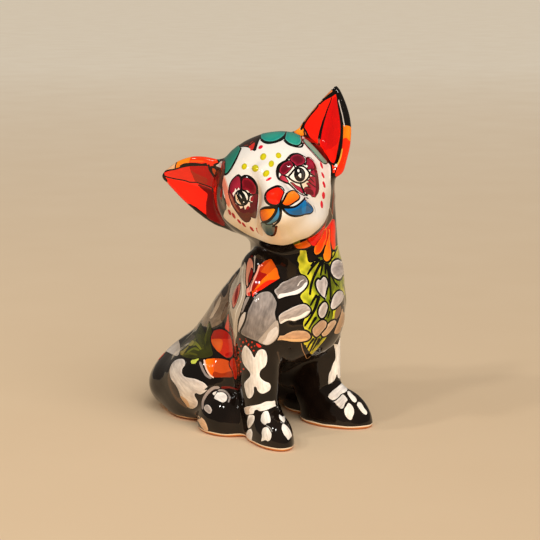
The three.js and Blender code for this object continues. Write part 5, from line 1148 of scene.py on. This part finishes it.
px([(164, 173.4), (165.8, 171.3), (170, 170), (175, 169.2), (180, 167.6), (185, 166.4), (190, 165.6), (198, 165.3), (205, 165.3), (209, 166.1), (210.2, 169), (212.2, 172.5), (214.7, 176), (216.2, 179), (216.6, 184), (216.3, 188), (216, 193), (217.2, 199), (218.7, 205), (220.7, 212), (222.6, 219), (224, 225),
    (218, 222.2), (210, 218), (203, 213.6), (196, 208.2), (190, 204.6), (183, 199), (177, 193.6), (171, 186.4), (167, 181), (164.6, 177)], srgb(246, 38, 18), edge=0.45, depth=60, fine=True, face=-0.1)
# painted shade and reflection: the hollow's facets in lighter and deeper reds, deepest towards the lower right
px([(165.6, 173.4), (167, 172), (170, 170.8), (175, 170), (180, 168.6), (185, 167.4), (189.4, 167), (191, 172), (195, 181.4), (190, 181.8), (184, 180), (176, 178.4), (169, 177)], srgb(226, 44, 26), edge=0, depth=60)
px([(189.6, 166.6), (198, 166.2), (205, 166.2), (208.6, 167), (210, 170), (213.6, 176), (215.4, 180), (215.8, 186), (214, 188), (210, 186.4), (203, 184), (196, 182), (193.6, 178), (191.4, 171.6)], srgb(178, 6, 4), edge=0, depth=60)
px([(190.2, 169.8), (196, 173.4), (203, 176.4), (207.4, 179), (207.2, 182.6), (205, 184.2), (199, 182.6), (195.4, 181.6), (193, 176)], srgb(160, 40, 20), edge=0, depth=60)
px([(197, 184), (204, 186), (210, 188.4), (215.4, 192.4), (217, 199), (218.5, 205), (220.6, 212.6), (223.6, 221), (224.2, 226), (216, 222.4), (207.4, 217.6), (206.2, 210), (206.2, 203), (207.6, 194.4), (203, 190)], srgb(104, 6, 4), col2=srgb(136, 14, 10), fade="right", mottle=0.1, edge=0, depth=60)
strokes([(0.4, 0.35, [(164.8, 176), (169, 177.5), (176, 179), (184, 180.4), (190, 182.2), (196, 182.3)]), (0.35, 0.55, [(196, 182.3), (203, 184.5), (210, 187), (213, 188.9), (215.8, 191.8)]), (0.8, 0.7, [(180.6, 166.8), (184, 164.8), (190, 164), (197, 164), (202, 164.7), (206.4, 163.9)]),
         (0.5, 0.5, [(208.8, 164.6), (209.3, 169), (212, 174), (214.5, 178), (215.8, 181)]), (0.6, 0.75, [(217.8, 200), (219.4, 206), (221, 213), (223, 219), (225.2, 226.6)]), (0.45, 0.4, [(164, 175.6), (164.4, 172.6), (166.8, 170.8), (171, 169.8)])], depth=60, fine=True)
px([(167, 181), (169.6, 184), (172.4, 189), (170.4, 188.4), (167.4, 185), (165.6, 182)], srgb(226, 178, 140), edge=0, depth=60, fine=True)
px([(190, 160.4), (197, 160.2), (204, 160.8), (203, 162.4), (197, 162.2), (190, 162.2)], srgb(248, 90, 16), edge=0, depth=60)
px([(214, 165.4), (219, 162.6), (223, 159.8), (225.4, 162), (225, 172), (223.5, 176), (222, 184), (222.4, 194), (225.6, 203), (225.6, 209), (221.4, 210), (219.6, 203), (217.6, 195), (217, 184), (217.6, 176), (218.6, 171)], srgb(64, 34, 26), col2=srgb(92, 46, 34), fade="up", mottle=0.4, edge=0.4, depth=60, face=-0.2, fine=True)
px([(215, 165.7), (219, 163), (222.7, 160.6), (222.2, 164), (221.2, 168.2), (218.4, 167.6)], srgb(230, 222, 214), edge=0.3, depth=60, fine=True)
px([(220.4, 196), (223, 197.6), (225, 202), (224.6, 205.4), (222, 204), (220.4, 200)], srgb(84, 82, 70), edge=0.25, depth=60, fine=True)
stroke([(222.8, 161.4), (224, 165), (224.4, 169)], 0.5, 0.4, col=srgb(172, 50, 36), fine=True)
px([(210.6, 168), (213, 167), (215.6, 168.2), (217.5, 171), (218, 174), (216, 175.7), (214, 175.3), (211.9, 172.4)], srgb(206, 84, 10), col2=srgb(186, 66, 6), edge=0.7, depth=60, fine=True)
px([(215.6, 176.4), (218.6, 176), (218.4, 179), (216.6, 180)], srgb(72, 4, 8), edge=0, depth=60, fine=True)

# underneath: bare fired clay at the soles, a thin pale lip above it
A.field(sole(2.9), srgb(240, 222, 200), edge=0)
A.field(sole(1.9), CLAY, edge=0)


# ------------------------------------------------------------------ the mesh
def normals(V):
    g = gradient(body, V)
    return g / np.maximum(np.linalg.norm(g, axis=1), 1e-6)[:, None]


A.place()
V, T = surface_nets(body, (-70, -95, -3.1), (70, 115, 262), 1.46)
V = onto(body, V, 2)
V = relax(body, V, T, 3)
for reach in (1.0,):
    mark = A.close(V, normals(V), reach)
    E = edges_of(T)
    E = E[mark[E[:, 0]] & mark[E[:, 1]]]
    V, T = split_edges(body, V, T, E)
    V = relax(body, V, T, 1, 0.3)
N = normals(V)
SWA, COL, lift, grain, brush = A.lay(V, N)
calm = np.clip(V[:, 2] / 6, 0, 1)
uneven = 0.10 * ripple(V, 5.5, 1.0) + 0.05 * ripple(V, 2.6, 4.0)
V = V + N * (lift + uneven * calm)[:, None]
print("statue:", len(V), "vertices,", len(T), "triangles,", len(SWA), "layers,", len(A.jobs), "shapes")
assert len(T) < 200000, len(T)


def make_mesh(name, V, T):
    me = bpy.data.meshes.new(name)
    me.vertices.add(len(V))
    me.vertices.foreach_set("co", ((V - CENTRE) / 1000).astype(np.float32).ravel())
    me.loops.add(3 * len(T))
    me.loops.foreach_set("vertex_index", T.astype(np.int32).ravel())
    me.polygons.add(len(T))
    me.polygons.foreach_set("loop_start", np.arange(0, 3 * len(T), 3, dtype=np.int32))
    me.update(calc_edges=True)
    me.validate()
    me.shade_smooth()
    ob = bpy.data.objects.new(name, me)
    bpy.context.scene.collection.objects.link(ob)
    return ob


piece = make_mesh("statue_glazed", V, T)
me = piece.data
for k, (s, c) in enumerate(zip(SWA, COL)):
    me.attributes.new(f"L{k}", "FLOAT_VECTOR", "POINT").data.foreach_set("vector", s.astype(np.float32).ravel())
    me.attributes.new(f"C{k}", "FLOAT_COLOR", "POINT").data.foreach_set("color", c.astype(np.float32).ravel())
bare = np.clip(V[:, 2] - 1.9 - 0.35 * ripple(V, 5.0, 2), -REACH, REACH)
ground = np.ones((len(V), 4))
ground[:, :3] = BLACK * (1 + 0.35 * np.clip(ripple(V, 9.0, 3) + ripple(V, 4.0, 5), -1, 1))[:, None]
me.attributes.new("ground", "FLOAT_COLOR", "POINT").data.foreach_set("color", ground.astype(np.float32).ravel())
me.attributes.new("grain", "FLOAT_VECTOR", "POINT").data.foreach_set("vector", grain.astype(np.float32).ravel())
me.attributes.new("brush", "FLOAT", "POINT").data.foreach_set("value", brush.astype(np.float32))
me.attributes.new("bare", "FLOAT", "POINT").data.foreach_set("value", bare.astype(np.float32))


# ------------------------------------------------------------------ materials
class Nodes:
    def __init__(self, name):
        self.mat = bpy.data.materials.new(name)
        self.mat.use_nodes = True
        self.t = self.mat.node_tree
        self.t.nodes.clear()
        self.place = self.t.nodes.new("ShaderNodeTexCoord").outputs["Object"]
        self.out = self.t.nodes.new("ShaderNodeOutputMaterial")

    def new(self, kind, **props):
        n = self.t.nodes.new(kind)
        for k, v in props.items():
            setattr(n, k, v)
        return n

    def put(self, value, socket):
        if isinstance(value, bpy.types.NodeSocket):
            self.t.links.new(value, socket)
        elif hasattr(value, "__len__") and len(value) == 3 and len(socket.default_value) == 4:
            socket.default_value = (*value, 1)
        else:
            socket.default_value = value

    def math(self, op, a, b=None):
        n = self.new("ShaderNodeMath", operation=op)
        self.put(a, n.inputs[0])
        if b is not None:
            self.put(b, n.inputs[1])
        return n.outputs[0]

    def mix(self, f, a, b, blend="MIX"):
        n = self.new("ShaderNodeMix", data_type="RGBA", blend_type=blend)
        self.put(f, n.inputs[0])
        self.put(a, n.inputs[6])
        self.put(b, n.inputs[7])
        return n.outputs[2]

    def attr(self, name):
        return self.new("ShaderNodeAttribute", attribute_name=name)

    def noise(self, scale, detail=2.0, rough=0.5, vector=None):
        n = self.new("ShaderNodeTexNoise")
        n.inputs["Scale"].default_value = scale
        n.inputs["Detail"].default_value = detail
        n.inputs["Roughness"].default_value = rough
        self.t.links.new(vector or self.place, n.inputs["Vector"])
        return n.outputs["Fac"]

    def ramp(self, v, lo, hi, a=0.0, b=1.0):
        n = self.new("ShaderNodeMapRange")
        self.put(v, n.inputs[0])
        for i, x in enumerate((lo, hi, a, b)):
            n.inputs[i + 1].default_value = x
        return n.outputs[0]


def glaze_material(layers):
    M = Nodes("painted_glaze")
    col = M.attr("ground").outputs["Color"]
    for k in range(layers):
        shape = M.attr(f"L{k}").outputs["Color"]
        sep = M.new("ShaderNodeSeparateColor")
        M.t.links.new(shape, sep.inputs[0])
        S, W, F = sep.outputs
        paint = M.attr(f"C{k}").outputs["Color"]
        solid = M.math("GREATER_THAN", F, 0.9)
        fill = M.math("MULTIPLY", M.math("LESS_THAN", S, 0.0), solid)
        line = M.math("LESS_THAN", M.math("ABSOLUTE", S), W)
        col = M.mix(fill, col, paint)
        col = M.mix(line, col, M.mix(solid, paint, LINE))
    # thin and thick places in the brushed glaze
    along = M.attr("grain").outputs["Vector"]
    hairs = M.math("ADD", M.math("MULTIPLY", M.noise(0.62, 3, 0.6, along), 0.6), M.math("MULTIPLY", M.noise(0.16, 2, 0.5, along), 0.4))
    hairs = M.ramp(hairs, 0.34, 0.64, -1, 1)
    brushed = M.math("ADD", M.math("MULTIPLY", hairs, M.attr("brush").outputs["Fac"]), 1.0)
    grey = M.new("ShaderNodeCombineColor")
    for i in range(3):
        M.put(brushed, grey.inputs[i])
    col = M.mix(1.0, col, grey.outputs[0], "MULTIPLY")
    clay = M.math("LESS_THAN", M.attr("bare").outputs["Fac"], 0.0)
    p = M.new("ShaderNodeBsdfPrincipled")
    M.put(col, p.inputs["Base Color"])
    smooth = M.ramp(M.noise(90, 2), 0.3, 0.8, 0.045, 0.11)
    rough = M.new("ShaderNodeMix", data_type="FLOAT")
    M.put(clay, rough.inputs[0])
    M.put(smooth, rough.inputs[2])
    rough.inputs[3].default_value = 0.85
    M.put(rough.outputs[0], p.inputs["Roughness"])
    p.inputs["IOR"].default_value = 1.46
    bump = M.new("ShaderNodeBump")
    bump.inputs["Strength"].default_value = 0.10
    bump.inputs["Distance"].default_value = 0.0006
    M.put(M.noise(130, 1.5), bump.inputs["Height"])
    M.put(bump.outputs[0], p.inputs["Normal"])
    M.put(p.outputs[0], M.out.inputs[0])
    return M.mat


piece.data.materials.append(glaze_material(len(SWA)))
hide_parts(NODE)
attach(piece, "root")

# ------------------------------------------------------------------ floor, light, camera
bpy.ops.mesh.primitive_plane_add(size=60, location=(0, 0, 0))
floor = bpy.context.object
floor.name = "floor"
F = Nodes("plain_floor")
fp = F.new("ShaderNodeBsdfPrincipled")
# the floor is painted paler the farther it lies from the camera: a painted brightening against the lamps' falloff
away = F.new("ShaderNodeVectorMath", operation="DOT_PRODUCT")
F.t.links.new(F.place, away.inputs[0])
away.inputs[1].default_value = tuple(np.array([-BACK[0], -BACK[1], 0]) / math.cos(EL * DEG))
paint = F.mix(F.ramp(away.outputs["Value"], 0.0, 4.0), srgb(228, 202, 168), srgb(250, 238, 218))
F.put(F.mix(F.ramp(F.noise(9, 4), 0.3, 0.7, 0, 0.12), paint, srgb(214, 186, 150)), fp.inputs["Base Color"])
fp.inputs["Roughness"].default_value = 0.65
fp.inputs["Specular IOR Level"].default_value = 0.0
F.put(fp.outputs[0], F.out.inputs[0])
floor.data.materials.append(F.mat)

world = bpy.data.worlds.new("studio")
bpy.context.scene.world = world
world.use_nodes = True
bg = world.node_tree.nodes["Background"]
bg.inputs[0].default_value = (*srgb(222, 208, 190), 1)
bg.inputs[1].default_value = 0.24


def stand(o, at, to):
    """puts a lamp at a place, pointing at another"""
    from mathutils import Matrix
    z = -unit(np.array(to, float) - np.array(at, float))
    x = unit(np.cross([0, 0, 1.0], z))
    m = np.eye(4)
    m[:3, 0], m[:3, 1], m[:3, 2], m[:3, 3] = x, np.cross(z, x), z, at
    o.matrix_world = Matrix(m.tolist())


def lamp(name, at, to, size, power, colour=(1, 1, 1), tall=None):
    L = bpy.data.lights.new(name, "AREA")
    L.shape = "RECTANGLE"
    L.size, L.size_y = size, tall or size
    L.energy = power
    L.color = colour
    o = bpy.data.objects.new(name, L)
    bpy.context.scene.collection.objects.link(o)
    stand(o, at, to)
    return o


def seen(right, up, near):
    """a place given from the camera's side: metres to the right, up and towards the camera from the statue's middle"""
    return RIGHT * right + np.array([0, 0, 1.0]) * up + np.array([BACK[0], BACK[1], 0]) / math.cos(EL * DEG) * near


MID = (0, 0, 0.13)
soft = bpy.data.lights.new("soft_daylight", "SUN")
soft.energy, soft.angle, soft.color = 2.12, 56 * DEG, (1.0, 0.985, 0.96)
soft_ob = bpy.data.objects.new("soft_daylight", soft)
bpy.context.scene.collection.objects.link(soft_ob)
soft_ob.visible_glossy = False            # its light is spread wide enough to leave no mirror image
stand(soft_ob, seen(0.45, 1.25, 1.0), (0, 0, 0))
lamp("key_a", seen(-0.66, 1.34, 0.78), MID, 0.11, 2.9, (1.0, 0.97, 0.92))
low = lamp("low_fill", seen(0.12, 0.10, 1.30), (0.0, 0.0, 0.15), 0.8, 7.6, (1.0, 0.72, 0.45), 0.16)
low.visible_glossy = low.visible_camera = False
lamp("key_b", seen(-0.98, 1.22, 0.55), MID, 0.11, 2.9, (1.0, 0.97, 0.92))

cam = bpy.data.cameras.new("camera")
cam.lens, cam.sensor_width = 36 * F_PX / 540, 36
cam.clip_start, cam.clip_end = 0.05, 50
camera = bpy.data.objects.new("camera", cam)
bpy.context.scene.collection.objects.link(camera)
from mathutils import Matrix
m = np.eye(4)
m[:3, 0], m[:3, 1], m[:3, 2], m[:3, 3] = RIGHT, UP, BACK, (EYE_AT - CENTRE) / 1000
camera.matrix_world = Matrix(m.tolist())
bpy.context.scene.camera = camera
bpy.context.scene.view_settings.view_transform = "Standard"
